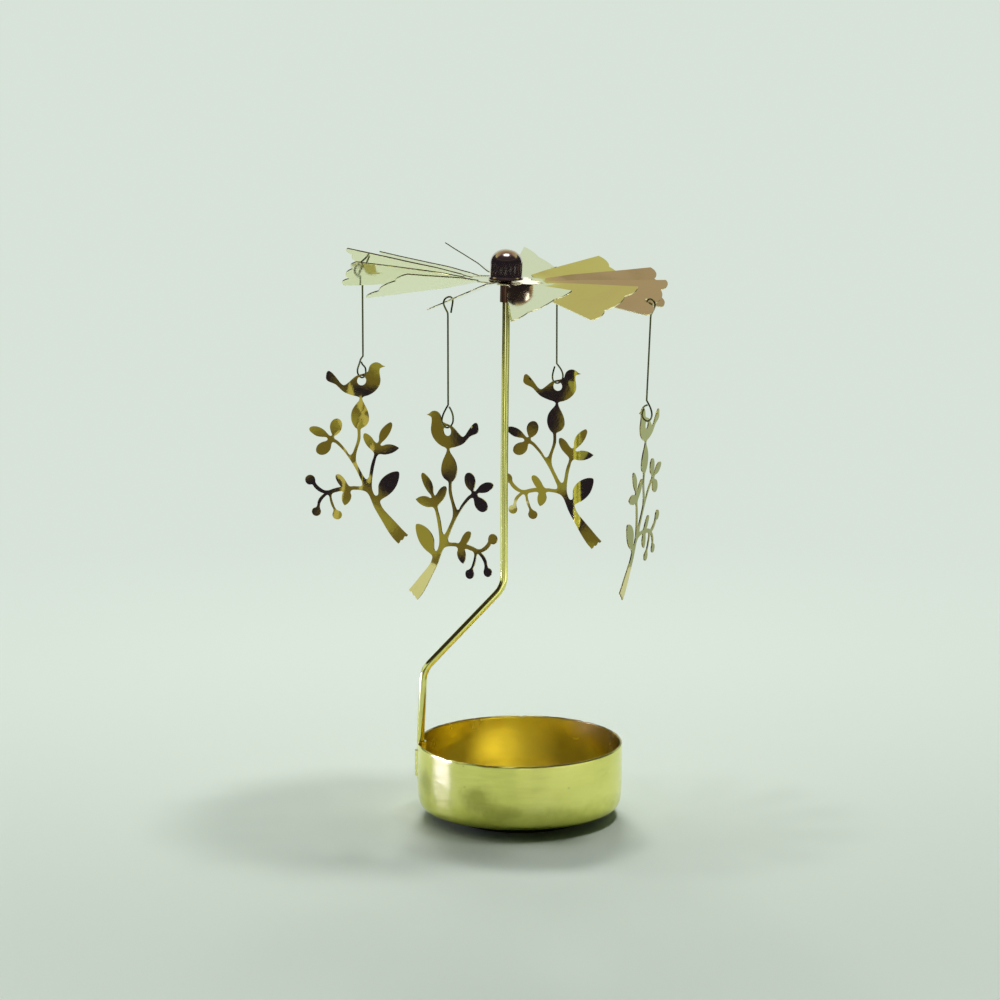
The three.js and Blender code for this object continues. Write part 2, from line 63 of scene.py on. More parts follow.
WIRE_R, WIRE_AXIS, HOOK_LENGTH, LOOP_HEIGHT = 0.25, 0.0, 4.25, 5.7
ORNAMENT_SHEET, EYE_R, EYE_GAP = 0.35, 1.38, 0.2
# blade, hook and beak directions, straight wire, loop height, kink and set above the loop,
# skew of the loop, its open end, lean of the hanger, further roll of the ornament
HANGINGS = {
    "left": dict(blade=6, hook=132.6, beak=15.0, straight=24.08, loop=5.2, kink=1.2, set=1.1, skew=-0.8, end=[(-0.75, -1.2), (-0.35, -0.6)], lean=0.0, roll=0.0),
    "front": dict(blade=9, hook=214.6, beak=143.6, straight=24.65, loop=6.35, kink=0.0, set=0.0, skew=-0.15, end=[(-0.75, -1.2), (-0.35, -0.6)], lean=0.0, roll=0.0),
    "rear": dict(blade=3, hook=32.6, beak=-15.0, straight=23.45, loop=5.97, kink=0.0, set=0.0, skew=0.0, end=[(-0.95, -1.5), (-0.7, -0.8)], lean=0.0, roll=0.0),
    "right": dict(blade=0, hook=-44.4, beak=249.0, straight=23.5, loop=5.9, kink=0.0, set=0.0, skew=0.0, end=[(-0.5, -1.65), (0.3, -1.3)], lean=2.3, roll=1.3),
}

# outline of the bird on its twig, on a grid of 3.314 by 3.397 units per mm
GRID, GRID_Z, EYE, SHEAR = 3.314, 3.397, (360.5, 380.8), 0.0369
OUTLINE = [
    384.2, 366.4, 381, 367.4, 378.8, 368.6, 378.2, 371.5, 378.6, 375.5, 379.2, 380, 378.4, 384.5, 375.8, 389,
    371.5, 393, 366.5, 395.6, 362.3, 396.9, 361, 398.2, 361.2, 400.2, 362.6, 403.5, 365, 408, 366.8, 413,
    367.5, 417.5, 367, 422, 364.6, 425.8, 361.2, 428, 359.4, 429.2, 359, 433, 359, 438, 358, 443,
    356.3, 448, 354.9, 453, 354.2, 458, 354.6, 462.5, 356.6, 467.5, 359.5, 473, 362.3, 478, 364.6, 480.2,
    366.4, 479.2, 367.6, 475, 368.6, 469, 370.2, 462.5, 372.2, 456.5, 372.2, 453.6, 369.6, 450.6, 365.2, 446,
    362.6, 441, 361.8, 436.4, 363, 433.8, 366.4, 434.6, 370.2, 438, 373, 442, 375.4, 443.6, 377.2, 441.4,
    377.4, 437, 379, 431.6, 382.6, 427, 386.4, 424, 389.4, 422.8, 390.6, 424.6, 389.8, 429.4, 387.2, 435,
    383.4, 440, 379.6, 443.6, 378.6, 445.6, 380.2, 446.4, 384.4, 445.2, 389.6, 445.2, 393.8, 446.6, 397.4, 448.8,
    394, 451.8, 388.6, 454.4, 382.6, 455.4, 377.4, 455, 375.2, 457, 373.6, 462, 372, 469, 370.8, 476,
    370, 483, 370, 488.5, 371, 493, 373.4, 496.8, 375.8, 496.4, 376.4, 492, 376.6, 486.5, 379.2, 481,
    383.4, 476.8, 388.2, 474, 393.2, 472.6, 396.8, 473, 397.4, 476.4, 396.4, 482, 394, 488, 390.2, 493.2,
    385.2, 497.4, 380.4, 500.2, 378.2, 502.4, 378.8, 506, 381.6, 511, 386, 516, 391, 521.5, 396, 527,
    401, 532.6, 405.8, 537.4, 404.4, 539, 402.6, 538.8, 401.4, 541, 400, 542.6, 398.6, 542.6, 397.6, 544.6,
    396, 546.2, 392, 542, 388, 536.6, 384, 530.2, 380, 523, 376, 516, 372, 508.6, 369.2, 501.6,
    366.8, 496, 363.6, 492.6, 359, 491.2, 354, 490.7, 350, 491, 348.6, 492.6, 349.4, 496.5, 348.4, 501,
    345.4, 504.8, 342.6, 506.4, 340.8, 503.6, 340, 499.5, 340.4, 495.5, 341, 492.8, 339, 491.9, 334.6, 492.8,
    331.2, 493.8, 329.8, 495.8, 330.2, 500, 331.6, 504.6, 333.4, 509, 335.6, 511.2, 338.6, 512.6, 339.9, 515.8,
    338.6, 519.1, 335.2, 520.5, 331.8, 519.1, 330.5, 515.8, 331.3, 513, 331.6, 510.8, 329.6, 506.4, 328.2, 501.6,
    327.2, 496.8, 325.6, 495.6, 322.8, 497.6, 320, 501, 318.4, 504.4, 318, 507.2, 318.4, 509.5, 319.1, 512.2,
    317.8, 515.4, 314.6, 516.7, 311.4, 515.4, 310.1, 512.2, 311.4, 509, 314.4, 507.7, 315.4, 506, 316, 502.4,
    317.8, 498.6, 320.6, 495.6, 322.4, 494, 319.4, 493, 315.8, 490.8, 312.6, 487.6, 310.6, 484.8, 307.6, 484.9,
    305, 483.3, 303.8, 480, 305.2, 476.5, 308.8, 475, 312.3, 476.5, 313.8, 480, 313.9, 482.4, 315.6, 485.2,
    318.8, 488.2, 322.6, 490.6, 326.8, 490.9, 331.6, 489.3, 336.6, 488, 339.2, 487.5, 337.6, 485.6, 335.4, 482,
    334, 478.4, 334.4, 475.6, 337, 474.8, 340.6, 477, 343.6, 481, 346, 485.4, 348, 487.1, 352, 487,
    356.6, 487.3, 359.8, 486.8, 360.4, 484.4, 358.6, 479.6, 355.4, 472.6, 352.2, 466.4, 349.2, 461.4, 345.4, 455.6,
    341.4, 450.4, 337.4, 446.2, 333.8, 443.2, 331, 442.6, 330, 444.8, 329.2, 448.8, 326.8, 452.4, 322.8, 454.8,
    318.4, 454.8, 315.2, 452.2, 315, 448.6, 317, 444.8, 321, 442.2, 325, 441, 326.4, 439.6, 325.4, 437.6,
    321, 437, 315.6, 436, 311.2, 433.2, 308.4, 429.6, 309.4, 427.2, 313.6, 426.2, 318.8, 427.4, 323.2, 430.2,
    326.6, 434, 329, 436, 331, 435.4, 329.6, 431.6, 328.8, 426.6, 330.6, 421.6, 334.2, 418.9, 338, 419.2,
    340.4, 422.4, 340.6, 427, 339, 431.4, 335.8, 434.6, 333, 436.6, 333, 438.4, 336.4, 441, 340.6, 445.4,
    344.8, 450.6, 348.2, 455.2, 350.2, 454.6, 352.8, 449.4, 354.8, 443.8, 356, 438.6, 356.2, 433.4, 355.6, 429.4,
    353.6, 427.6, 351.4, 424.2, 350, 420, 349.8, 415.4, 351, 410.4, 353.6, 406, 356.6, 402.4, 358.2, 400,
    358.2, 398, 356.6, 396.8, 352, 395.6, 346.6, 393.8, 342.2, 391.6, 338.4, 388, 334.6, 384.4, 330.6, 382.6,
    327, 381, 325.4, 378.8, 325.6, 375, 326.4, 372, 328, 370.8, 330.4, 372, 333.6, 375.2, 337.2, 379.8,
    340.6, 384, 343.2, 385.2, 347, 383, 351, 379.4, 355, 376.2, 359, 374.6, 363.4, 373.4, 366.8, 371.6,
    367.9, 368.2, 369.4, 365.2, 372.4, 363, 375.8, 362.4, 379, 363.6, 381.2, 365.4,
]


# ------------------------------------------------------------------- helpers

def rad(d):
    return d * math.pi / 180.0


def smoothstep(x, a, b):
    t = min(max((x - a) / (b - a), 0.0), 1.0)
    return t * t * (3 - 2 * t)


def make(name, verts, faces, mats=(), face_mats=None, angle=40.0):
    """Object from points in millimetres, smooth-shaded with sharp edges above the angle."""
    me = bpy.data.meshes.new(name)
    me.from_pydata([tuple(c * MM for c in v) for v in verts], [], faces)
    me.validate()
    bm = bmesh.new()
    bm.from_mesh(me)
    bmesh.ops.recalc_face_normals(bm, faces=bm.faces)
    for f in bm.faces:
        f.smooth = True
    for e in bm.edges:
        if len(e.link_faces) == 2:
            e.smooth = e.calc_face_angle(0.0) < rad(angle)
    bm.to_mesh(me)
    bm.free()
    for m in mats:
        me.materials.append(m)
    if face_mats is not None:
        me.polygons.foreach_set("material_index", face_mats)
    ob = bpy.data.objects.new(name, me)
    scene.collection.objects.link(ob)
    return ob


def lathe(profile, segments, closed=True):
    """Closed (r, z) profile about Z: vertices and faces. Points with r = 0 are poles."""
    verts, faces, ring = [], [], []
    for r, z in profile:
        if r < 1e-9:
            ring.append([len(verts)] * segments)
            verts.append((0.0, 0.0, z))
        else:
            ring.append(list(range(len(verts), len(verts) + segments)))
            for i in range(segments):
                a = 2 * math.pi * i / segments
                verts.append((r * math.cos(a), r * math.sin(a), z))
    n = len(profile)
    for j in range(n if closed else n - 1):
        p, q = ring[j], ring[(j + 1) % n]
        for i in range(segments):
            k = (i + 1) % segments
            f = []
            for v in (p[i], p[k], q[k], q[i]):
                if v not in f:
                    f.append(v)
            if len(f) > 2:
                faces.append(f)
    return verts, faces


def rounded(profile, radii, steps=4, closed=True):
    """Rounds the corners of a (r, z) polyline; radii gives a tangent length for each corner."""
    out = []
    n = len(profile)
    for i, (p, t) in enumerate(zip(profile, radii)):
        if t <= 0 or (not closed and i in (0, n - 1)):
            out.append(tuple(p))
            continue
        a, b, c = Vector(profile[i - 1]), Vector(p), Vector(profile[(i + 1) % n])
        u, w = (a - b), (c - b)
        tu, tw = min(t, u.length * 0.49), min(t, w.length * 0.49)
        s, e = b + u.normalized() * tu, b + w.normalized() * tw
        for k in range(steps + 1):
            x = k / steps
            q = s * (1 - x) ** 2 + b * 2 * x * (1 - x) + e * x ** 2
            out.append((q.x, q.y))
    return out


def sweep(path, radius, sides, taper=None):
    """Round tube along a list of Vectors, closed at both ends. taper(i) scales a ring."""
    verts, faces = [], []
    tangent = []
    for i in range(len(path)):
        a = path[max(i - 1, 0)]
        b = path[min(i + 1, len(path) - 1)]
        tangent.append((b - a).normalized())
    normal = tangent[0].orthogonal().normalized()
    for i, (p, t) in enumerate(zip(path, tangent)):
        normal = (normal - t * normal.dot(t)).normalized()
        side = t.cross(normal)
        r = radius * (taper(i) if taper else 1.0)
        for k in range(sides):
            a = 2 * math.pi * k / sides
            verts.append(p + (normal * math.cos(a) + side * math.sin(a)) * r)
    for i in range(len(path) - 1):
        for k in range(sides):
            m = (k + 1) % sides
            faces.append([i * sides + k, i * sides + m, (i + 1) * sides + m, (i + 1) * sides + k])
    faces.append(list(range(sides))[::-1])
    faces.append([(len(path) - 1) * sides + k for k in range(sides)])
    return verts, faces


def catmull(points, samples):
    """Open centripetal Catmull-Rom curve through the points."""
    pts = [2 * points[0] - points[1]] + list(points) + [2 * points[-1] - points[-2]]
    out = []
    spans = len(points) - 1
    for j in range(samples + 1):
        u = j / samples * spans
        i = min(int(u), spans - 1)
        w = u - i
        p0, p1, p2, p3 = pts[i], pts[i + 1], pts[i + 2], pts[i + 3]
        d0, d1, d2 = [max((b - a).length, 1e-6) ** 0.5 for a, b in ((p0, p1), (p1, p2), (p2, p3))]
        t1 = (p1 - p0) / d0 - (p2 - p0) / (d0 + d1) + (p2 - p1) / d1
        t2 = (p2 - p1) / d1 - (p3 - p1) / (d1 + d2) + (p3 - p2) / d2
        t1, t2 = t1 * d1, t2 * d1
        out.append(p1 * (2 * w**3 - 3 * w**2 + 1) + t1 * (w**3 - 2 * w**2 + w)
                   + p2 * (-2 * w**3 + 3 * w**2) + t2 * (w**3 - w**2))
    return out


def spline2d(points, per):
    """Closed smooth 2-D curve through the points, corners kept sharp."""
    n = len(points)
    out = []
    for i in range(n):
        p0, p1, p2, p3 = points[i - 1], points[i], points[(i + 1) % n], points[(i + 2) % n]

        def leave(a, b, c):  # tangent at b, flattened at a corner
            u, w = (b - a), (c - b)
            if u.length < 1e-9 or w.length < 1e-9:
                return (c - a) * 0.5
            bend = u.normalized().dot(w.normalized())
            k = smoothstep(bend, 0.1, 0.55)
            d = (u * w.length + w * u.length) / (u.length + w.length)
            return d * k
        m1, m2 = leave(p0, p1, p2), leave(p1, p2, p3)
        seg = (p2 - p1).length
        m1 = m1.normalized() * seg if m1.length > 1e-6 else (p2 - p1)
        m2 = m2.normalized() * seg if m2.length > 1e-6 else (p2 - p1)
        for k in range(per):
            w = k / per
            out.append(p1 * (2 * w**3 - 3 * w**2 + 1) + m1 * (w**3 - 2 * w**2 + w)
                       + p2 * (-2 * w**3 + 3 * w**2) + m2 * (w**3 - w**2))
    return out


def inside(p, loop):
    x, y = p
    hit = False
    for (x1, y1), (x2, y2) in zip(loop, loop[1:] + loop[:1]):
        if (y1 > y) != (y2 > y) and x < (x2 - x1) * (y - y1) / (y2 - y1) + x1:
            hit = not hit
    return hit


def flat_sheet(loops, inner):
    """Triangulates the area inside loops[0] and outside the other loops, with inner points."""
    verts, edges = [], []
    for loop in loops:
        s = len(verts)
        verts += [Vector(p) for p in loop]
        edges += [(s + i, s + (i + 1) % len(loop)) for i in range(len(loop))]
    verts += [Vector(p) for p in inner]
    vo, _, fo, _, _, _ = delaunay_2d_cdt(verts, edges, [], 0, 1e-5)
    tri = []
    plain = [[tuple(p) for p in loop] for loop in loops]
    for f in fo:
        c = sum((vo[i] for i in f), Vector((0, 0))) / len(f)
        if inside(c, plain[0]) and not any(inside(c, h) for h in plain[1:]):
            tri.append(list(f))
    return [tuple(v) for v in vo], tri


def thicken(points2d, tris, place, half, roll=0.0):
    """Two faces and a wall round every border: place(x, y, w) gives the point in space.
    roll rounds the border of the lower face, as the die leaves it."""
    n = len(points2d)
    faces, kinds = [], []
    count = {}
    for t in tris:
        for a, b in zip(t, t[1:] + t[:1]):
            count.setdefault((min(a, b), max(a, b)), []).append((a, b))
    border = [pair[0] for pair in count.values() if len(pair) == 1]
    inward = {}
    for a, b in border:
        d = Vector(points2d[b]) - Vector(points2d[a])
        if d.length > 1e-9:
            d.normalize()
            for i in (a, b):
                inward[i] = inward.get(i, Vector((0, 0))) + Vector((-d.y, d.x)) * 0.5
    shift = {i: v / max(v.length_squared, 0.5) for i, v in inward.items()}
    rings = [(half, 0.0)]
    if roll:
        rings += [(roll - half, 0.0), (0.5 * roll - half, 0.134 * roll), (0.134 * roll - half, 0.5 * roll), (-half, roll)]
    else:
        rings += [(-half, 0.0)]
    verts = []
    for w, k in rings:
        for i, (x, y) in enumerate(points2d):
            m = shift.get(i)
            verts.append(place(x + m.x * k, y + m.y * k, w) if m else place(x, y, w))
    last = (len(rings) - 1) * n
    for t in tris:
        faces.append(t)
        kinds.append(0)
        faces.append([last + i for i in reversed(t)])
        kinds.append(0)
    for a, b in border:
        for q in range(len(rings) - 1):
            faces.append([q * n + b, q * n + a, (q + 1) * n + a, (q + 1) * n + b])
            kinds.append(1 if q == 0 else 0)
    used = sorted({i for f in faces for i in f})
    new = {o: i for i, o in enumerate(used)}
    return [verts[i] for i in used], [[new[i] for i in f] for f in faces], kinds


def bevel(ob, width, segments=2, angle=30.0):
    m = ob.modifiers.new("edge", "BEVEL")
    m.width = width * MM
    m.segments = segments
    m.limit_method = "ANGLE"
    m.angle_limit = rad(angle)
    m.harden_normals = True
    m.use_clamp_overlap = True
    return m


# ----------------------------------------------------------------- materials

def brass(name, base, shade, rough, waves=0.0, wave_scale=60.0, grain=(900, 900, 900), grain_bump=0.04,
          stains=0.25, specks=0.0, metallic=1.0, aniso=0.0, turn=0.0, cloud=22.0, haze=0.35, shade_and_tarnish_patches=()):
    """Polished brass: tint that drifts, faint stains, fine polishing grain, soft dents in the sheet."""
    m = bpy.data.materials.new(name)
    m.use_nodes = True
    nt = m.node_tree
    N, L = nt.nodes, nt.links
    N.clear()
    out = N.new("ShaderNodeOutputMaterial")
    b = N.new("ShaderNodeBsdfPrincipled")
    L.new(b.outputs[0], out.inputs[0])
    b.inputs["Metallic"].default_value = metallic
    tc = N.new("ShaderNodeTexCoord")

    # slow drift of the tint
    n1 = N.new("ShaderNodeTexNoise")
    n1.inputs["Scale"].default_value = cloud
    n1.inputs["Detail"].default_value = 3
    L.new(tc.outputs["Object"], n1.inputs["Vector"])
    r1 = N.new("ShaderNodeValToRGB")
    r1.color_ramp.elements[0].position = 0.36
    r1.color_ramp.elements[1].position = 0.64
    r1.color_ramp.elements[0].color = (*shade, 1)
    r1.color_ramp.elements[1].color = (*base, 1)
    L.new(n1.outputs["Fac"], r1.inputs["Fac"])

    # small water-mark stains
    n2 = N.new("ShaderNodeTexNoise")
    n2.inputs["Scale"].default_value = 240
    n2.inputs["Detail"].default_value = 5
    n2.inputs["Roughness"].default_value = 0.62
    L.new(tc.outputs["Object"], n2.inputs["Vector"])
    r2 = N.new("ShaderNodeValToRGB")
    r2.color_ramp.elements[0].position = 0.58
    r2.color_ramp.elements[1].position = 0.74
    r2.color_ramp.elements[0].color = (0, 0, 0, 1)
    r2.color_ramp.elements[1].color = (stains, stains, stains, 1)
    L.new(n2.outputs["Fac"], r2.inputs["Fac"])
    mix = N.new("ShaderNodeMix")
    mix.data_type = "RGBA"
    L.new(r2.outputs["Color"], mix.inputs["Factor"])
    L.new(r1.outputs["Color"], mix.inputs["A"])
    mix.inputs["B"].default_value = (shade[0] * 0.72, shade[1] * 0.66, shade[2] * 0.55, 1)
    colour = mix.outputs["Result"]

    if specks:
        v = N.new("ShaderNodeTexVoronoi")
        v.inputs["Scale"].default_value = 210
        L.new(tc.outputs["Object"], v.inputs["Vector"])
        r3 = N.new("ShaderNodeValToRGB")
        r3.color_ramp.elements[0].position = 0.035
        r3.color_ramp.elements[1].position = 0.07
        r3.color_ramp.elements[0].color = (specks, specks, specks, 1)
        r3.color_ramp.elements[1].color = (0, 0, 0, 1)
        L.new(v.outputs["Distance"], r3.inputs["Fac"])
        mix2 = N.new("ShaderNodeMix")
        mix2.data_type = "RGBA"
        L.new(r3.outputs["Color"], mix2.inputs["Factor"])
        L.new(colour, mix2.inputs["A"])
        mix2.inputs["B"].default_value = (0.06, 0.045, 0.02, 1)
        colour = mix2.outputs["Result"]

    # darker patches that the caller lists, painted shade and tarnish: middle and reach in mm, depth, tint
    for centre, reach, depth, tint in shade_and_tarnish_patches:
        away = N.new("ShaderNodeVectorMath")
        away.operation = "SUBTRACT"
        L.new(tc.outputs["Object"], away.inputs[0])
        away.inputs[1].default_value = [c * MM for c in centre]
        part = N.new("ShaderNodeVectorMath")
        part.operation = "DIVIDE"
        L.new(away.outputs["Vector"], part.inputs[0])
        part.inputs[1].default_value = [r * MM for r in reach]
        far = N.new("ShaderNodeVectorMath")
        far.operation = "LENGTH"
        L.new(part.outputs["Vector"], far.inputs[0])
        n5 = N.new("ShaderNodeTexNoise")
        n5.inputs["Scale"].default_value = 330
        n5.inputs["Detail"].default_value = 5
        n5.inputs["Roughness"].default_value = 0.6
        L.new(tc.outputs["Object"], n5.inputs["Vector"])
        ragged = N.new("ShaderNodeMath")
        ragged.operation = "MULTIPLY_ADD"
        L.new(n5.outputs["Fac"], ragged.inputs[0])
        ragged.inputs[1].default_value = 0.7
        L.new(far.outputs["Value"], ragged.inputs[2])
        fade = N.new("ShaderNodeMapRange")
        fade.interpolation_type = "SMOOTHSTEP"
        fade.inputs["From Min"].default_value = 0.60
        fade.inputs["From Max"].default_value = 1.45
        fade.inputs["To Min"].default_value = depth
        fade.inputs["To Max"].default_value = 0.0
        L.new(ragged.outputs[0], fade.inputs["Value"])
        mix3 = N.new("ShaderNodeMix")
        mix3.data_type = "RGBA"
        L.new(fade.outputs["Result"], mix3.inputs["Factor"])
        L.new(colour, mix3.inputs["A"])
        mix3.inputs["B"].default_value = (*tint, 1)
        colour = mix3.outputs["Result"]
    L.new(colour, b.inputs["Base Color"])

    # roughness follows stains and a fine grain
    map1 = N.new("ShaderNodeMapping")
    map1.inputs["Scale"].default_value = grain
    L.new(tc.outputs["Object"], map1.inputs["Vector"])
    n3 = N.new("ShaderNodeTexNoise")
    n3.inputs["Scale"].default_value = 1.0
    n3.inputs["Detail"].default_value = 4
    L.new(map1.outputs["Vector"], n3.inputs["Vector"])
    mr = N.new("ShaderNodeMapRange")
    mr.inputs["From Min"].default_value = 0.3
    mr.inputs["From Max"].default_value = 0.7
    mr.inputs["To Min"].default_value = rough * 0.75
    mr.inputs["To Max"].default_value = rough * 1.3
    L.new(n3.outputs["Fac"], mr.inputs["Value"])
    add = N.new("ShaderNodeMath")
    add.operation = "MULTIPLY_ADD"
    L.new(r2.outputs["Color"], add.inputs[0])
    add.inputs[1].default_value = haze
    L.new(mr.outputs["Result"], add.inputs[2])
    L.new(add.outputs[0], b.inputs["Roughness"])

    # grain, and soft dents of the pressed sheet
    bump = N.new("ShaderNodeBump")
    bump.inputs["Strength"].default_value = grain_bump
    bump.inputs["Distance"].default_value = 0.0002
    L.new(n3.outputs["Fac"], bump.inputs["Height"])
    last = bump
    if waves:
        n4 = N.new("ShaderNodeTexNoise")
        n4.inputs["Scale"].default_value = wave_scale
        n4.inputs["Detail"].default_value = 1.5
        L.new(tc.outputs["Object"], n4.inputs["Vector"])
        bump2 = N.new("ShaderNodeBump")
        bump2.inputs["Strength"].default_value = 1.0
        bump2.inputs["Distance"].default_value = waves * MM
        L.new(n4.outputs["Fac"], bump2.inputs["Height"])
        L.new(bump.outputs["Normal"], bump2.inputs["Normal"])
        last = bump2
    L.new(last.outputs["Normal"], b.inputs["Normal"])

    if aniso:
        b.inputs["Anisotropic"].default_value = aniso
        b.inputs["Anisotropic Rotation"].default_value = turn
        tg = N.new("ShaderNodeTangent")
        tg.direction_type = "RADIAL"
        tg.axis = "Z"
        L.new(tg.outputs["Tangent"], b.inputs["Tangent"])
    return m


# on the outer wall, the band darker towards the bottom and the patches at the front and left are painted shade, the
# wall's reflection of the shadowed floor; the two patches at the back are plain darker patches
tray_mat = brass("tray_brass_polished", (0.92, 0.90, 0.27), (0.78, 0.77, 0.19), 0.18, waves=0.006, wave_scale=32,
                 grain=(120, 120, 900), grain_bump=0.002, stains=0.04, specks=0.5, aniso=0.8, turn=0.25, cloud=46.0, haze=0.1,
                 shade_and_tarnish_patches=[((0, 0, 1.5), (900, 900, 9.5), 0.75, (0.52, 0.54, 0.08)),
                          ((-12.0, -27.0, 12.0), (7.0, 7.0, 5.0), 0.85, (0.46, 0.45, 0.10)),
                          ((-5.0, -29.0, 9.0), (7.0, 5.0, 3.0), 0.55, (0.50, 0.49, 0.10)),
                          ((-27.0, -12.0, 13.0), (4.0, 6.0, 5.0), 0.65, (0.48, 0.47, 0.10)),
                          ((24.0, 17.0, 12.0), (7.0, 7.0, 4.0), 0.45, (0.52, 0.50, 0.10)),
                          ((6.0, 29.0, 10.0), (8.0, 6.0, 3.4), 0.40, (0.52, 0.50, 0.10))])
tray_in = brass("tray_brass_inside", (0.93, 0.81, 0.19), (0.90, 0.76, 0.15), 0.22, waves=0.002, wave_scale=32,
                grain=(200, 200, 200), grain_bump=0.002, stains=0.0, haze=0.0)
tray_well = brass("tray_brass_well_satin", (0.56, 0.47, 0.15), (0.50, 0.41, 0.12), 0.42, waves=0.004, wave_scale=32,
                  grain=(1500, 1500, 1500), grain_bump=0.03, stains=0.10, metallic=0.15, haze=0.1)
# near-black underside and outside of the foot: painted shade under the tray
tray_under_shade = brass("tray_underside_painted_shade", (0.13, 0.12, 0.05), (0.08, 0.07, 0.03), 0.38, waves=0.01, wave_scale=32,
                   grain=(1500, 1500, 1500), grain_bump=0.05, stains=0.3, haze=0.1)
tray_rim = brass("tray_sheared_rim", (0.66, 0.60, 0.30), (0.46, 0.38, 0.18), 0.20, grain=(2500, 2500, 2500), grain_bump=0.2, stains=0.4)
raw_edge = brass("sheared_brass_edge", (0.88, 0.82, 0.48), (0.70, 0.60, 0.28), 0.20, grain=(2500, 2500, 2500), grain_bump=0.15, stains=0.3)
bird_edge = brass("ornament_cut_edge", (0.52, 0.46, 0.20), (0.34, 0.29, 0.12), 0.20, grain=(2500, 2500, 2500), grain_bump=0.15, stains=0.3)
post_mat = brass("post_brass_wire", (0.86, 0.85, 0.30), (0.80, 0.77, 0.24), 0.11, waves=0.004, wave_scale=120,
                 grain=(1400, 1400, 160), grain_bump=0.015, stains=0.10, haze=0.1)
sleeve_mat = brass("sleeve_brass_dark", (0.085, 0.042, 0.028), (0.06, 0.03, 0.02), 0.16, grain=(1400, 1400, 300), grain_bump=0.05, stains=0.3)
dome_mat = brass("cap_brass_mirror", (0.62, 0.52, 0.50), (0.56, 0.46, 0.45), 0.13, waves=0.003, wave_scale=120, grain_bump=0.02, stains=0.08, haze=0.1)
fan_mat = brass("fan_brass_mirror", (0.80, 0.81, 0.52), (0.78, 0.78, 0.48), 0.06, waves=0.005, wave_scale=70, grain_bump=0.03, stains=0.12, haze=0.06)
wire_mat = brass("hanger_wire_metal", (0.17, 0.18, 0.06), (0.10, 0.11, 0.04), 0.26, grain=(900, 900, 300), grain_bump=0.01, stains=0.05)
bird_mat = brass("ornament_brass_mirror", (0.78, 0.68, 0.30), (0.74, 0.64, 0.26), 0.035, waves=0.003, wave_scale=90, grain_bump=0.015, stains=0.12, haze=0.03)


# ------------------------------------------------------------------ the tray

def clip_path(kind, count):
    """Middle line of the wall across the clip: (tangential, radial) points, evenly spaced."""
    cr = -POST_FOOT_X
    rr = POST_R + 0.1 + SHEET / 2
    half = 3.6
    pts = []
    if kind == "wall":
        for i in range(81):
            t = -half + 2 * half * i / 80
            pts.append((t, math.sqrt(MID_R**2 - t * t)))
    else:
        inward = kind == "groove"
        if inward:
            for i in range(15):
                t = -half + (half - rr - 0.45) * i / 14
                pts.append((t, math.sqrt(MID_R**2 - t * t)))
            r0 = pts[-1][1]
            for k in range(1, 7):   # fillet into the groove
                a = k / 6 * math.pi / 2
                pts.append((-rr - 0.45 + 0.45 * math.sin(a), r0 - 0.45 * (1 - math.cos(a))))
            for k in range(0, 25):
                a = math.pi * k / 24
                pts.append((-rr * math.cos(a), cr - 0.0 - rr * math.sin(a) if True else 0))
            right = [(-t, r) for t, r in pts[:21]]
            pts += right[::-1]
        else:
            t0 = 1.75
            for i in range(15):
                t = -half + (half - t0) * i / 14
                pts.append((t, math.sqrt(MID_R**2 - t * t)))
            r0 = pts[-1][1]
            a0 = math.asin(min(1.0, (r0 - cr + 0.12) / rr))
            for k in range(1, 7):   # soft rise into the strap
                x = k / 7
                tt = -t0 + (t0 - rr * math.cos(a0 + 0.22)) * x
                tr = r0 + (cr + rr * math.sin(a0 + 0.22) - r0) * (x * x * (3 - 2 * x))
                pts.append((tt, tr))
            for k in range(0, 25):
                a = a0 + 0.22 + (math.pi - 2 * (a0 + 0.22)) * k / 24
                pts.append((-rr * math.cos(a), cr + rr * math.sin(a)))
            right = [(-t, r) for t, r in pts[:21]]
            pts += right[::-1]
    length = [0.0]
    for p, q in zip(pts, pts[1:]):
        length.append(length[-1] + math.dist(p, q))
    out = []
    j = 0
    for i in range(count):
        s = length[-1] * i / (count - 1)
        while j < len(pts) - 2 and length[j + 1] < s:
            j += 1
        f = (s - length[j]) / max(length[j + 1] - length[j], 1e-9)
        out.append((pts[j][0] + (pts[j + 1][0] - pts[j][0]) * f, pts[j][1] + (pts[j + 1][1] - pts[j][1]) * f))
    return out


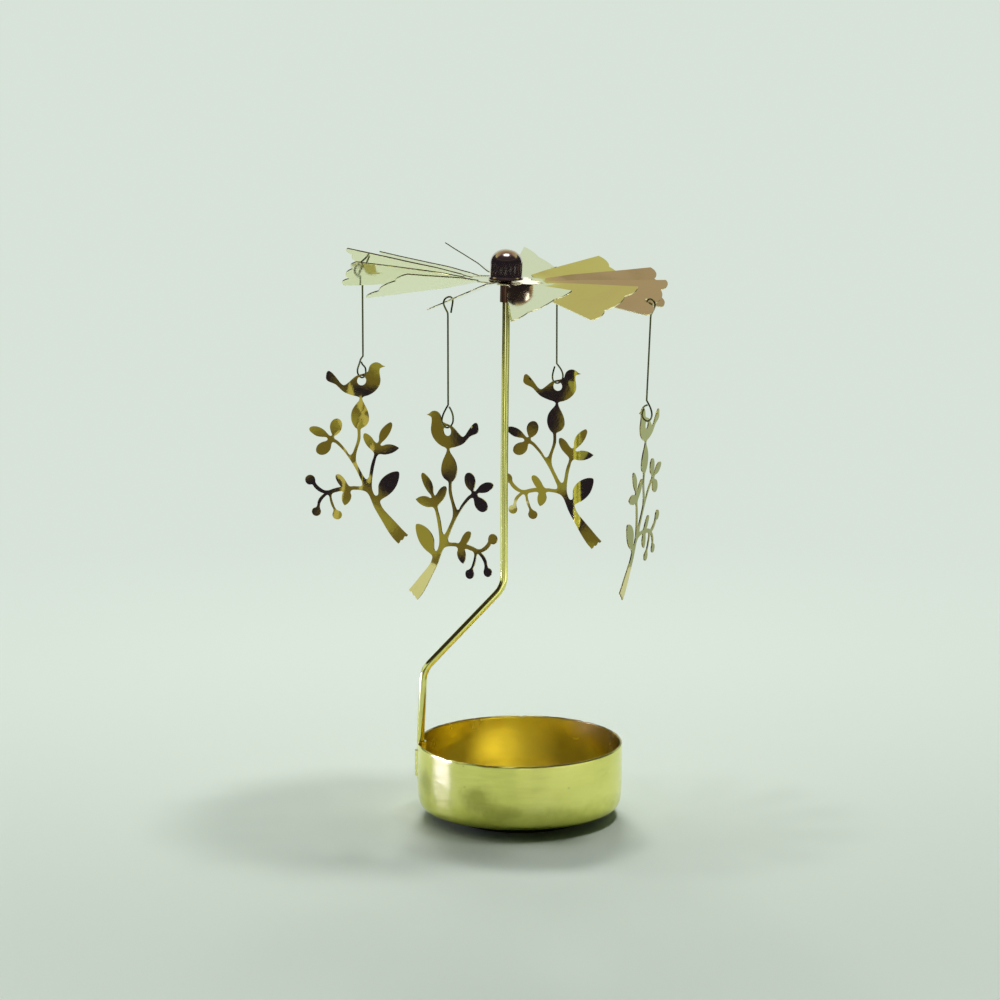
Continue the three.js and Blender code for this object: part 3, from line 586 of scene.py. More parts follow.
def build_tray():
    clip_n, plain_n = 61, 260
    edge_a = math.asin(3.6 / MID_R)
    # rows: (z, radius of the middle line, kind across the clip, break before this row in the clip)
    rows = []
    for z, lean in ((TRAY_TOP, 0.20), (TRAY_TOP - 0.12, 0.09), (TRAY_TOP - 0.26, 0.03), (TRAY_TOP - 0.45, 0.006), (21.4, 0.0), (20.7, 0.0), (STRAP_HIGH + SLIT, 0.0)):
        rows.append((z, MID_R - lean, "groove", False))
    first = True
    for z in (STRAP_HIGH, 19.2, 18.0, 16.5, 15.0, 13.6, 12.3, STRAP_LOW):
        rows.append((z, MID_R, "strap", first))
        first = False
    first = True
    for z, lean in ((STRAP_LOW - SLIT, 0.0), (10.8, 0.008), (9.6, 0.05), (8.4, 0.13), (7.2, 0.26)):
        rows.append((z, MID_R - lean, "wall", first))
        first = False
    inner = [(29.41, 5.9), (29.24, 5.1), (28.97, 4.4), (28.62, 3.84), (28.14, 3.42), (27.4, 3.25),
             (25.5, 3.25), (23.5, 3.25), (22.3, 3.25), (21.75, 3.18), (21.3, 2.92), (21.0, 2.5), (20.85, 2.0), (20.78, 1.5),
             (20.68, 1.05), (20.45, 0.65), (20.1, 0.38), (19.6, 0.27), (19.0, 0.25),
             (16.0, 0.25), (12.0, 0.25), (8.0, 0.25), (4.0, 0.25), (1.5, 0.25)]
    for r, z in inner:
        rows.append((z, r, "wall", False))

    paths = {k: clip_path(k, clip_n) for k in ("wall", "groove", "strap")}
    verts, grid = [], []
    for z, r, kind, _ in rows:
        line = []
        for t, rr in paths[kind]:
            if kind == "wall":
                a = math.pi - math.asin(max(-1.0, min(1.0, t / MID_R)))
                x, y = r * math.cos(a), r * math.sin(a)
            else:
                x, y = -rr, t
            line.append((x, y))
        # the clip runs from y = -3.6 to 3.6 on the -X side, then the plain wall goes round
        a0 = math.pi - edge_a            # end of the clip at y = +3.6
        a1 = -math.pi + edge_a           # start of the clip at y = -3.6
        for i in range(1, plain_n):
            a = a0 + (a1 - a0) * i / plain_n
            line.append((r * math.cos(a), r * math.sin(a)))
        ids = []
        for j, (x, y) in enumerate(line):
            ang = math.atan2(y, x)
            dz = 0.0
            out = 0.0
            if z > 21.0:   # the sheared rim is a little uneven
                w = smoothstep(z, 21.0, TRAY_TOP)
                dz = -w * (0.05 + 0.05 * math.sin(3 * ang + 1.0) + 0.045 * noise.noise(Vector((6 * math.cos(ang), 6 * math.sin(ang), 3.0)))
                           + 0.10 * max(0.0, noise.noise(Vector((19 * math.cos(ang), 19 * math.sin(ang), 7.0)))))
                for at, depth, wide in ((-2.35, 0.30, 0.035), (-2.20, 0.22, 0.028), (1.55, 0.22, 0.03), (0.86, 0.26, 0.025), (-1.9, 0.12, 0.03), (0.2, 0.15, 0.03)):
                    dz -= w * depth * math.exp(-((ang - at) / wide) ** 2)
            if z > 5.0 and abs(abs(ang) - math.pi) > 0.16:
                # walls of pressed cups are never quite round
                out = -0.035 - 0.03 * math.sin(2 * ang + 0.6) - 0.02 * noise.noise(Vector((4 * math.cos(ang), 4 * math.sin(ang), z * 0.12)))
                out *= smoothstep(abs(abs(ang) - math.pi), 0.16, 0.5) * smoothstep(z, 5.0, 9.0)
            if abs(abs(ang) - math.pi) < edge_a + 0.16 and z > 21.5:   # but not next to the clip
                out += (MID_R - r) * (1.0 - smoothstep(abs(abs(ang) - math.pi), edge_a, edge_a + 0.16)) * (j >= clip_n)
            q = 1.0 + out / max(r, 1.0)
            ids.append(len(verts))
            verts.append((x * q, y * q, z + dz))
        grid.append(ids)
    faces = []
    m = len(grid[0])
    for j in range(len(rows) - 1):
        gap = rows[j + 1][3]
        for i in range(m):
            k = (i + 1) % m
            if gap and i < clip_n - 1:
                continue
            faces.append([grid[j][i], grid[j][k], grid[j + 1][k], grid[j + 1][i]])
    c = len(verts)
    verts.append((0, 0, 0.25))
    last = grid[-1]
    for i in range(m):
        faces.append([last[i], last[(i + 1) % m], c])
    # the slit rows share their ends with the plain wall, but not across the clip
    ob = make("tray_pressed_sheet", verts, faces, angle=50)
    me = ob.data
    # faces look outwards: flip if the wall's first face points in
    bm = bmesh.new()
    bm.from_mesh(me)
    bm.faces.ensure_lookup_table()
    f = max(bm.faces, key=lambda f: f.calc_center_median().y if f.calc_center_median().z > 0.008 else -1)
    if f.normal.y < 0:
        bmesh.ops.reverse_faces(bm, faces=bm.faces)
    bm.to_mesh(me)
    bm.free()
    for mat in (tray_mat, tray_in, tray_rim, tray_under_shade, tray_well):
        me.materials.append(mat)
    # faces below 3.3 mm take the near-black underside on the outside, which is painted shade under the tray, and the
    # satin well on the inside
    for p in me.polygons:
        if max(me.vertices[i].co.z for i in p.vertices) < 3.3 * MM:
            p.material_index = 3
    s = ob.modifiers.new("thickness", "SOLIDIFY")
    s.thickness = SHEET * MM
    s.offset = 0.0
    s.material_offset = 1
    s.material_offset_rim = 2
    s.use_even_offset = True
    bevel(ob, 0.10, 3, 60)
    return ob


# ------------------------------------------------------------------ the post

def build_post():
    low, high = Vector((-28.05, 43.6)), Vector((-4.62, 68.5))
    slope = (high - low).normalized()
    leg = 3.1
    key = [(-29.0, 11.78), (-29.0, 17.0), (-29.0, 22.7), (-28.85, 27.0), (-28.5, 33.5)]
    pts = [Vector((x, 0, z)) for x, z in key]
    line = catmull(pts, 60)

    def bend(c, a, b):
        s, e = c + a * leg, c + b * leg
        for k in range(17):
            t = k / 16
            q = s * (1 - t) ** 2 + c * 2 * t * (1 - t) + e * t * t
            line.append(Vector((q.x, 0, q.y)))
    bend(low, Vector((-0.045, -1)).normalized(), slope)
    bend(high, -slope, Vector((0, 1)))
    upper = catmull([Vector((-4.6, 0, 75)), Vector((-4.6, 0, 95)), Vector((-4.36, 0, 122)), Vector((-4.05, 0, 146)), Vector((-4.0, 0, 157.9))], 60)
    line += upper
    # straight stretches are filled in so that rings stay close
    full = [line[0]]
    for p in line[1:]:
        d = (p - full[-1]).length
        if d < 1e-6:
            continue
        for k in range(1, max(1, int(d / 1.2)) + 1):
            full.append(full[-1].lerp(p, 1.0) if d <= 1.2 else full[-1] + (p - full[-1]) * (1 / (max(1, int(d / 1.2)) - k + 1)))
    tip = [Vector((-4.0, 0, z)) for z in (158.1, 158.5, 159.0, 159.5, 160.0, 160.3)]
    path = full + tip
    n = len(full)
    sizes = {0: 0.80, 1: 0.97}
    cone = [0.88, 0.74, 0.57, 0.40, 0.20, 0.09]

    def taper(i):
        if i >= n:
            return cone[i - n]
        return sizes.get(i, 1.0)
    v, f = sweep(path, POST_R, 32, taper)
    return make("post_bent_wire", v, f, [post_mat], angle=50)


# ------------------------------------------------------------- rotor, fixed lean

def rotor_matrix(tilt=HUB_TILT):
    return Matrix.Translation(NEEDLE) @ Matrix.Rotation(rad(tilt), 4, "Y")


def fan_matrix():
    return rotor_matrix() @ Matrix.Translation((-BORE_SHIFT, 0, -FAN_DROP)) @ Matrix.Rotation(rad(FAN_TILT - HUB_TILT), 4, "Y")


def blade_point(u, v, w, k):
    t = 0.66 * smoothstep(u, HUB_R + 0.1, ROOT_U + 0.3) + 0.34 * smoothstep(u, ROOT_U - 1.6, ROOT_U + 8.0)
    a = rad(TWIST[k]) * t
    y = v * math.cos(a) - w * math.sin(a)
    z = v * math.sin(a) + w * math.cos(a) + math.tan(rad(LIFT[k])) * max(0.0, u - 10.8)
    return Matrix.Rotation(rad(FIRST_BLADE + 360 / BLADES * k), 3, "Z") @ Vector((u, y, z))


def arc(a, b, rise, steps):
    a, b = Vector(a), Vector(b)
    half = (b - a).length / 2
    radius = (half * half + rise * rise) / (2 * rise)
    d = (b - a) / (2 * half)
    c = (a + b) / 2 - Vector((d.y, -d.x)) * (radius - rise)
    s = math.atan2(a.y - c.y, a.x - c.x)
    e = math.atan2(b.y - c.y, b.x - c.x)
    while e < s:
        e += 2 * math.pi
    return [(c.x + radius * math.cos(s + (e - s) * i / steps), c.y + radius * math.sin(s + (e - s) * i / steps)) for i in range(steps + 1)]


def build_fan():
    neck = NECK_WIDTH / 2
    hub_u = math.sqrt(HUB_R**2 - neck**2)
    # one blade's border in its own flat frame, from hub to hub, counter-clockwise
    local = [(hub_u, -neck)]
    for t in (0.25, 0.5, 0.75):
        local.append((hub_u + (11.9 - hub_u) * t, -neck))
    # small rounded step from neck to blade
    corner = [(11.9, -neck), (12.15, -neck - 0.08), (12.3, -neck - 0.3), (12.3, -ROOT_HALF + 0.35), (12.4, -ROOT_HALF + 0.05), (12.75, -ROOT_HALF - 0.07)]
    local += corner
    ax, ay = CORNER_A
    for i in range(1, 13):
        t = i / 13
        local.append((12.75 + (ax - 0.5 - 12.75) * t, -ROOT_HALF - 0.07 + (ay + 0.1 + ROOT_HALF) * t))
    lobes = arc(CORNER_A, NOTCH_A, LOBE_RISE[0], 12)
    lobes[0] = (lobes[0][0] - 0.03, lobes[0][1] + 0.02)
    lobes += arc(NOTCH_A, NOTCH_B, LOBE_RISE[1], 14)[1:]
    lobes += arc(NOTCH_B, CORNER_B, LOBE_RISE[2], 12)[1:]
    local += lobes
    bx, by = CORNER_B
    for i in range(1, 13):
        t = i / 13
        local.append((bx - 0.3 - (bx - 0.3 - 12.75) * t, by - 0.08 - (by - ROOT_HALF - 0.15) * t))
    local += [(u, -v) for u, v in corner[::-1]]
    for t in (0.75, 0.5, 0.25):
        local.append((hub_u + (11.9 - hub_u) * t, neck))
    local.append((hub_u, neck))

    border, inner, holes = [], [], []
    step = 360 / BLADES
    half_angle = math.degrees(math.asin(neck / HUB_R))
    for k in range(BLADES):
        a = rad(FIRST_BLADE + step * k)
        ca, sa = math.cos(a), math.sin(a)
        border += [(u * ca - v * sa, u * sa + v * ca) for u, v in local]
        for i in range(1, 6):    # hub edge between two necks, with rounded inner corners
            b = rad(FIRST_BLADE + step * k + half_angle + (step - 2 * half_angle) * i / 6)
            r = HUB_R + (0.12 if i in (1, 5) else 0.0)
            border.append((r * math.cos(b), r * math.sin(b)))
        pts = []
        for i in range(14):
            u = hub_u - 0.3 + 0.3 * i
            for v in (-0.75, -0.38, 0.0, 0.38, 0.75):
                if u < 12.4:
                    pts.append((u, v))
        for i in range(1, 16):
            u = 12.6 + 2.0 * i
            w = ROOT_HALF + (9.3 - ROOT_HALF) * (u - 12.3) / 32
            for j in range(-3, 4):
                v = w * 0.86 * j / 3
                if u < 43.2 and math.hypot(u - HOLE_U, v - HOLE_V) > 1.5:
                    pts.append((u, v))
        inner += [(u * ca - v * sa, u * sa + v * ca) for u, v in pts]
        if any(h["blade"] == k for h in HANGINGS.values()):
            loop = []
            for i in range(28):
                b = -2 * math.pi * i / 28
                u, v = HOLE_U + HOLE_R * math.cos(b), HOLE_V + HOLE_R * math.sin(b)
                loop.append((u * ca - v * sa, u * sa + v * ca))
            holes.append(loop)
    bore = [(BORE_SHIFT + HUB_BORE * math.cos(-2 * math.pi * i / 48), HUB_BORE * math.sin(-2 * math.pi * i / 48)) for i in range(48)]
    holes.append(bore)
    for r in (2.9, 4.0, 5.4, 7.2, 8.4):
        for i in range(48):
            b = 2 * math.pi * (i + 0.5 * (r > 5)) / 48
            inner.append((r * math.cos(b), r * math.sin(b)))
    pts, tris = flat_sheet([border] + holes, inner)
    M = fan_matrix()

    def place(x, y, w):
        az = math.degrees(math.atan2(y, x)) - FIRST_BLADE
        k = int(round(az / step)) % BLADES
        a = -rad(FIRST_BLADE + step * k)
        u, v = x * math.cos(a) - y * math.sin(a), x * math.sin(a) + y * math.cos(a)
        # the thin sheet isn't quite flat: each blade bows a little
        soft = smoothstep(u, 13.0, 24.0) * (0.10 * math.sin(0.11 * (u - 13) + 1.7 * k) * 0.5
                                          + 0.05 * noise.noise(Vector((u * 0.09, v * 0.16, 5.0 * k))))
        soft *= 1.0 - smoothstep(u, 38.0, 42.0)
        p = blade_point(u, v, w + soft, k) if u > HUB_R - 0.4 else Vector((x, y, w))
        return M @ p
    v, f, kinds = thicken(pts, tris, place, FAN_SHEET / 2, 0.13)
    return make("fan_cut_sheet", v, f, [fan_mat, raw_edge], kinds, angle=12)


def build_sleeve():
    prof = rounded(
        [(SLEEVE_BORE, -0.9), (SLEEVE_BORE, SLEEVE_LOW + 0.02), (SLEEVE_R, SLEEVE_LOW), (SLEEVE_R, -1.95),
         (3.9, -1.95), (3.9, -1.55), (SLEEVE_R + 0.02, -1.5), (SLEEVE_R, 0.1), (1.2, 0.6), (0.001, 0.75), (0.001, 0.14), (SLEEVE_BORE - 0.25, -0.55)],
        [0, 0.08, 0.14, 0.22, 0.12, 0.12, 0.25, 0.3, 0.2, 0, 0, 0.1], 4)
    prof = [(0.0 if r < 0.01 else r, z) for r, z in prof]
    v, f = lathe(prof, 72)
    M = rotor_matrix()
    return make("bearing_sleeve_tube", [M @ Vector(p) for p in v], f, [sleeve_mat], angle=45)


def build_dome():
    w = DOME_WALL
    knots = [(DOME_R + 0.36, DOME_LOW), (DOME_R + 0.40, DOME_LOW + 0.14), (DOME_R + 0.36, DOME_LOW + 0.38), (DOME_R + 0.20, DOME_LOW + 0.64),
             (DOME_R + 0.06, DOME_LOW + 0.88), (DOME_R, DOME_LOW + 1.3)]
    outer = [tuple(p.xz) for p in catmull([Vector((r, 0, z)) for r, z in knots], 24)]
    outer += [(DOME_R, 0.2), (DOME_R, 1.2), (DOME_R, 2.0)]
    n, steps, z0 = 2.15, 26, 2.5
    inner = []
    for i in range(1, steps + 1):
        a = math.pi / 2 * i / steps
        c, q = max(math.cos(a), 0.0) ** (2 / n), math.sin(a) ** (2 / n)
        outer.append((DOME_R * c if i < steps else 0.0, z0 + (DOME_TOP - z0) * q))
        inner.append(((DOME_R - w) * c if i < steps else 0.0, z0 + (DOME_TOP - w - z0) * q))
    inner = inner[::-1] + [(DOME_R - w, 2.0), (DOME_R - w, 0.0), (DOME_R - w, DOME_LOW)]
    v, f = lathe(outer + inner, 96)
    M = rotor_matrix()
    ob = make("dome_cap_drawn", [M @ Vector(p) for p in v], f, [dome_mat], angle=50)
    return ob


# ------------------------------------------------------- hangers, ornaments

def hanger_matrix(h):
    place = fan_matrix() @ blade_point(HANG_U, HANG_V, 0, h["blade"])
    return Matrix.Translation(place) @ Matrix.Rotation(rad(h["lean"]), 4, "Y") @ Matrix.Rotation(rad(h["hook"]), 4, "Z")


def ornament_matrix(h):
    drop = -HOOK_LENGTH - h["straight"] - h["loop"] + WIRE_R + EYE_GAP - EYE_R
    return (hanger_matrix(h) @ Matrix.Translation((WIRE_AXIS + h["set"] + h["skew"] + 0.4, 0, drop)) @ Matrix.Rotation(rad(-h["hook"]), 4, "Z")
            @ Matrix.Rotation(rad(h["roll"]), 4, "Y") @ Matrix.Rotation(rad(h["beak"]), 4, "Z"))


def build_hanger(side, h):
    x = WIRE_AXIS
    top = -HOOK_LENGTH
    low = top - h["straight"]
    xz = lambda a, b: Vector((a, 0, b))
    hk = [(-1.02, -3.35), (-1.22, -2.3), (-1.5, -1.0), (-1.62, -0.15), (-1.42, 0.6), (-0.85, 1.06), (-0.1, 1.1), (0.72, 0.8),
          (1.2, 0.3), (1.4, -0.3), (1.32, -0.95), (0.75, -2.1), (0.1, -3.3), (x, top)]
    size, skew, off = h["loop"] / LOOP_HEIGHT, h["skew"], h["set"]
    lp = [(x, low + h["kink"]), (x + 0.55 * off, low + 0.5 * h["kink"])] if h["kink"] else []
    bend_from = low + h["kink"]
    lp.append((x + off, low))
    lp += [(x + off + skew + a, low + b * size) for a, b in
           [(0.85 - 0.4 * skew, -0.95), (1.7, -2.1), (2.2, -3.4), (2.1, -4.5), (1.4, -5.35), (0.4, -LOOP_HEIGHT),
            (-0.65, -5.4), (-1.35, -4.6), (-1.5, -3.5), (-1.25, -2.3)]]
    lp += [(x + off + a, low + b) for a, b in h["end"]]
    path = catmull([xz(*p) for p in hk], 110)
    for i in range(1, 14):
        path.append(xz(x, top + (bend_from - top) * i / 14))
    path += catmull([xz(*p) for p in lp], 120)
    M = hanger_matrix(h)
    v, f = sweep(path, WIRE_R, 14)
    return make(f"hanger_{side}_bent_wire", [M @ p for p in v], f, [wire_mat], angle=60)


def build_ornament(side, h):
    pts = []
    for gx, gy in zip(OUTLINE[::2], OUTLINE[1::2]):
        x = (gx - EYE[0]) / GRID
        pts.append(Vector((x, -(gy - EYE[1]) / GRID_Z - SHEAR * x)))
    loop = [tuple(p) for p in spline2d(pts, 3)]
    hole = [(EYE_R * math.cos(-2 * math.pi * i / 40), EYE_R * math.sin(-2 * math.pi * i / 40)) for i in range(40)]
    xs, zs = [p[0] for p in loop], [p[1] for p in loop]
    inner = []
    z = min(zs)
    while z < max(zs):
        x = min(xs)
        while x < max(xs):
            if inside((x, z), loop) and math.hypot(x, z) > EYE_R + 0.25:
                inner.append((x + 0.05 * math.sin(7 * z), z))
            x += 0.8
        z += 0.8
    flat, tris = flat_sheet([loop, hole], inner)
    seed = {"left": 3.1, "front": 8.4, "rear": 14.2, "right": 21.7}[side]
    M = ornament_matrix(h)

    def place(x, z, w):
        d = 0.010 * noise.noise(Vector((x * 0.09, z * 0.07, seed))) * smoothstep(math.hypot(x, z), 2.0, 9.0)
        return M @ Vector((x, -(w + d), z))
    v, f, kinds = thicken(flat, tris, place, ORNAMENT_SHEET / 2)
    ob = make(f"ornament_{side}_cut_sheet", v, f, [bird_mat, bird_edge], kinds, angle=35)
    bevel(ob, 0.03, 2, 40)
    return ob


tray = build_tray()
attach(tray, "drip_tray"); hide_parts("drip_tray")
post = build_post()
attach(post, "post"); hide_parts("support_post")
fan = build_fan()
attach(fan, "rotor"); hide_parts("fan_rotor")
sleeve = build_sleeve()
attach(sleeve, "rotor"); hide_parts("bearing_sleeve")
dome = build_dome()
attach(dome, "rotor"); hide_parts("dome_cap")
for side, h in HANGINGS.items():
    wire = build_hanger(side, h)
    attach(wire, f"hanger_{side}"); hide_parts(f"hanger_wire_{side}")
    bird = build_ornament(side, h)
    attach(bird, f"ornament_{side}"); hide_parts(f"bird_ornament_{side}")

# CAD nodes that stay as collision only still carry a brass of their own
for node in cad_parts.values():
    node.data.materials.clear()
    node.data.materials.append(fan_mat)


# ----------------------------------------------------------- stage and light

def diffuse(name, colour, dark, scale=6.0, rough=0.9):
    m = bpy.data.materials.new(name)
    m.use_nodes = True
    nt = m.node_tree
    b = nt.nodes["Principled BSDF"]
    tc = nt.nodes.new("ShaderNodeTexCoord")
    n = nt.nodes.new("ShaderNodeTexNoise")
    n.inputs["Scale"].default_value = scale
    n.inputs["Detail"].default_value = 4
    r = nt.nodes.new("ShaderNodeValToRGB")
    r.color_ramp.elements[0].position = 0.3
    r.color_ramp.elements[1].position = 0.7
    r.color_ramp.elements[0].color = (*dark, 1)
    r.color_ramp.elements[1].color = (*colour, 1)
    nt.links.new(tc.outputs["Object"], n.inputs["Vector"])
    nt.links.new(n.outputs["Fac"], r.inputs["Fac"])
    nt.links.new(r.outputs["Color"], b.inputs["Base Color"])
    b.inputs["Roughness"].default_value = rough
    b.inputs["Specular IOR Level"].default_value = 0.0
    return m


def emitter(name, ramp, strength=1.0, axis="Z", reach=1.0):
    """Glowing card whose colour runs along one object axis, with faint unevenness."""
    m = bpy.data.materials.new(name)
    m.use_nodes = True
    nt = m.node_tree
    N, L = nt.nodes, nt.links
    N.clear()
    out = N.new("ShaderNodeOutputMaterial")
    em = N.new("ShaderNodeEmission")
    em.inputs["Strength"].default_value = strength
    tc = N.new("ShaderNodeTexCoord")
    sp = N.new("ShaderNodeSeparateXYZ")
    L.new(tc.outputs["Object"], sp.inputs[0])
    nz = N.new("ShaderNodeTexNoise")
    nz.inputs["Scale"].default_value = 6
    L.new(tc.outputs["Object"], nz.inputs["Vector"])
    ma = N.new("ShaderNodeMath")
    ma.operation = "MULTIPLY_ADD"
    L.new(nz.outputs["Fac"], ma.inputs[0])
    ma.inputs[1].default_value = 0.06 * reach
    L.new(sp.outputs[axis], ma.inputs[2])
    mr = N.new("ShaderNodeMapRange")
    mr.inputs["From Min"].default_value = 0.03 * reach
    mr.inputs["From Max"].default_value = 1.03 * reach
    L.new(ma.outputs[0], mr.inputs["Value"])
    cr = N.new("ShaderNodeValToRGB")
    fill_ramp(cr, ramp)
    L.new(mr.outputs["Result"], cr.inputs["Fac"])
    L.new(cr.outputs["Color"], em.inputs["Color"])
    L.new(em.outputs[0], out.inputs[0])
    return m


def fill_ramp(node, stops):
    els = node.color_ramp.elements
    els[0].position, els[0].color = stops[0][0], (*stops[0][1], 1)
    els[1].position, els[1].color = stops[-1][0], (*stops[-1][1], 1)
    for pos, col in stops[1:-1]:
        e = els.new(pos)
        e.color = (*col, 1)


def stand(name, verts, faces, material, seen=("glossy",)):
    me = bpy.data.meshes.new(name)
    me.from_pydata(verts, [], faces)
    me.materials.append(material)
    ob = bpy.data.objects.new(name, me)
    scene.collection.objects.link(ob)
    ob.visible_camera = "camera" in seen
    ob.visible_diffuse = "diffuse" in seen
    ob.visible_glossy = "glossy" in seen
    ob.visible_transmission = False
    ob.visible_shadow = False
    return ob


PAPER = (0.686, 0.762, 0.690)      # how bright the paper comes out


def build_sweep_floor():
    """Pale paper floor that curves up behind; lit by the lamps near the object, even further out."""
    line = [(-1.6, 0.0), (-0.8, 0.0), (-0.3, 0.0), (0.3, 0.0), (0.9, 0.0)]
    for i in range(1, 13):
        a = math.pi / 2 * i / 12
        line.append((0.9 + 0.5 * math.sin(a), 0.5 - 0.5 * math.cos(a)))
    line += [(1.4, 0.8), (1.4, 1.1)]
    verts, faces = [], []
    for y, z in line:
        for x in (-2.2, -1.0, -0.3, 0.3, 1.0, 2.2):
            verts.append((x, y, z))
    for j in range(len(line) - 1):
        for i in range(5):
            faces.append([j * 6 + i, j * 6 + i + 1, (j + 1) * 6 + i + 1, (j + 1) * 6 + i])
    me = bpy.data.meshes.new("floor_sweep")
    me.from_pydata(verts, [], faces)
    for p in me.polygons:
        p.use_smooth = True
    m = diffuse("floor_paper", (0.802, 0.890, 0.806), (0.798, 0.886, 0.802))
    nt = m.node_tree
    N, L = nt.nodes, nt.links
    b = N["Principled BSDF"]
    glow = N.new("ShaderNodeEmission")
    glow.inputs["Color"].default_value = (*PAPER, 1)
    tc = N.new("ShaderNodeTexCoord")
    ln = N.new("ShaderNodeVectorMath")
    ln.operation = "LENGTH"
    L.new(tc.outputs["Object"], ln.inputs[0])
    mr = N.new("ShaderNodeMapRange")
    mr.interpolation_type = "SMOOTHSTEP"
    mr.inputs["From Min"].default_value = 0.10
    mr.inputs["From Max"].default_value = 0.42
    L.new(ln.outputs["Value"], mr.inputs["Value"])
    mix = N.new("ShaderNodeMixShader")
    L.new(mr.outputs["Result"], mix.inputs[0])
    L.new(b.outputs[0], mix.inputs[1])
    L.new(glow.outputs[0], mix.inputs[2])
    L.new(mix.outputs[0], N["Material Output"].inputs[0])
    me.materials.append(m)
    ob = bpy.data.objects.new("floor_sweep", me)
    scene.collection.objects.link(ob)
    return ob


floor = build_sweep_floor()


def ring_card(name, r, a0, a1, z0, z1, material, n=40):
    verts, faces = [], []
    for i in range(n + 1):
        a = rad(a0 + (a1 - a0) * i / n)
        verts += [(r * math.cos(a), r * math.sin(a), z0), (r * math.cos(a), r * math.sin(a), z1)]
    for i in range(n):
        faces.append([2 * i, 2 * i + 2, 2 * i + 3, 2 * i + 1])
    return stand(name, verts, faces, material)


# unlit room round the table, as mirrors see it: all round but for the paper behind
ring_card("room_dark", 0.70, -232, 48, 0.035, 0.62,
          emitter("room_paint", [(0.0, (0.030, 0.024, 0.026)), (0.35, (0.020, 0.016, 0.022)), (0.8, (0.030, 0.024, 0.026)), (1.0, (0.10, 0.08, 0.06))], reach=0.62))


def sky(name, radius, low, material, seen):
    verts, faces = [], []
    rows, cols = 24, 48
    for j in range(rows + 1):
        e = rad(low + (90 - low) * j / rows)
        for i in range(cols):
            a = 2 * math.pi * i / cols
            verts.append((radius * math.cos(e) * math.cos(a), radius * math.cos(e) * math.sin(a), radius * math.sin(e)))
    for j in range(rows):
        for i in range(cols):
            k = (i + 1) % cols
            faces.append([j * cols + i, j * cols + k, (j + 1) * cols + k, (j + 1) * cols + i])
    return stand(name, verts, faces, material, seen)


def ceiling_paint():
    """Ceiling and walls of the room: pale behind, dark in front, brown overhead."""
    m = bpy.data.materials.new("ceiling_paint")
    m.use_nodes = True
    nt = m.node_tree
    N, L = nt.nodes, nt.links
    N.clear()
    out = N.new("ShaderNodeOutputMaterial")
    em = N.new("ShaderNodeEmission")
    tc = N.new("ShaderNodeTexCoord")
    nrm = N.new("ShaderNodeVectorMath")
    nrm.operation = "NORMALIZE"
    L.new(tc.outputs["Object"], nrm.inputs[0])
    sp = N.new("ShaderNodeSeparateXYZ")
    L.new(nrm.outputs["Vector"], sp.inputs[0])
    el = N.new("ShaderNodeMath")
    el.operation = "ARCSINE"
    L.new(sp.outputs["Z"], el.inputs[0])
    mr = N.new("ShaderNodeMapRange")
    mr.inputs["From Min"].default_value = rad(-10)
    mr.inputs["From Max"].default_value = rad(90)
    L.new(el.outputs[0], mr.inputs["Value"])

    def stops(pairs):
        return [((e + 10) / 100, c) for e, c in pairs]
    back = N.new("ShaderNodeValToRGB")
    fill_ramp(back, stops([(-10, (0.66, 0.73, 0.66)), (22, (0.66, 0.73, 0.66)), (30, (0.64, 0.66, 0.42)), (41, (0.56, 0.52, 0.22)),
                           (50, (0.50, 0.38, 0.22)), (59, (0.44, 0.32, 0.25)), (63, (0.30, 0.21, 0.12)), (90, (0.26, 0.20, 0.14))]))
    front = N.new("ShaderNodeValToRGB")
    fill_ramp(front, stops([(-10, (0.028, 0.022, 0.028)), (30, (0.030, 0.024, 0.030)), (60, (0.06, 0.045, 0.05)), (90, (0.16, 0.12, 0.10))]))
    L.new(mr.outputs["Result"], back.inputs["Fac"])
    L.new(mr.outputs["Result"], front.inputs["Fac"])
    side = N.new("ShaderNodeMapRange")
    side.interpolation_type = "SMOOTHSTEP"
    side.inputs["From Min"].default_value = -0.10
    side.inputs["From Max"].default_value = 0.20
    L.new(sp.outputs["Y"], side.inputs["Value"])
    mix = N.new("ShaderNodeMix")
    mix.data_type = "RGBA"
    L.new(side.outputs["Result"], mix.inputs["Factor"])
    L.new(front.outputs["Color"], mix.inputs["A"])
    L.new(back.outputs["Color"], mix.inputs["B"])
    L.new(mix.outputs["Result"], em.inputs["Color"])
    L.new(em.outputs[0], out.inputs[0])
    return m


sky("room_ceiling", 3.4, -10, ceiling_paint(), ("glossy",))
sky("pale_surround", 3.6, -30, emitter("surround_paint", [(0.0, PAPER), (1.0, PAPER)], reach=4.0), ("camera",))

# bright strip low behind the backdrop's curve, seen only in the hub and necks
stand("strip_behind", [(0.02, 1.28, 0.29), (0.38, 1.28, 0.29), (0.38, 1.30, 0.44), (0.02, 1.30, 0.44)], [[0, 1, 2, 3]],
      emitter("strip_paint", [(0.0, (1.25, 1.22, 1.2)), (1.0, (1.25, 1.22, 1.2))]))

def mottled(name, dark, mid, light, scale):
    """Plain studio board, painted in three mottled tones."""
    m = bpy.data.materials.new(name)
    m.use_nodes = True
    nt = m.node_tree
    N, L = nt.nodes, nt.links
    N.clear()
    out = N.new("ShaderNodeOutputMaterial")
    em = N.new("ShaderNodeEmission")
    tc = N.new("ShaderNodeTexCoord")
    nz = N.new("ShaderNodeTexNoise")
    nz.inputs["Scale"].default_value = scale
    nz.inputs["Detail"].default_value = 1.5
    L.new(tc.outputs["Object"], nz.inputs["Vector"])
    cr = N.new("ShaderNodeValToRGB")
    fill_ramp(cr, [(0.0, dark), (0.46, dark), (0.50, mid), (0.56, mid), (0.60, light), (1.0, light)])
    L.new(nz.outputs["Fac"], cr.inputs["Fac"])
    L.new(cr.outputs["Color"], em.inputs["Color"])
    L.new(em.outputs[0], out.inputs[0])
    return m


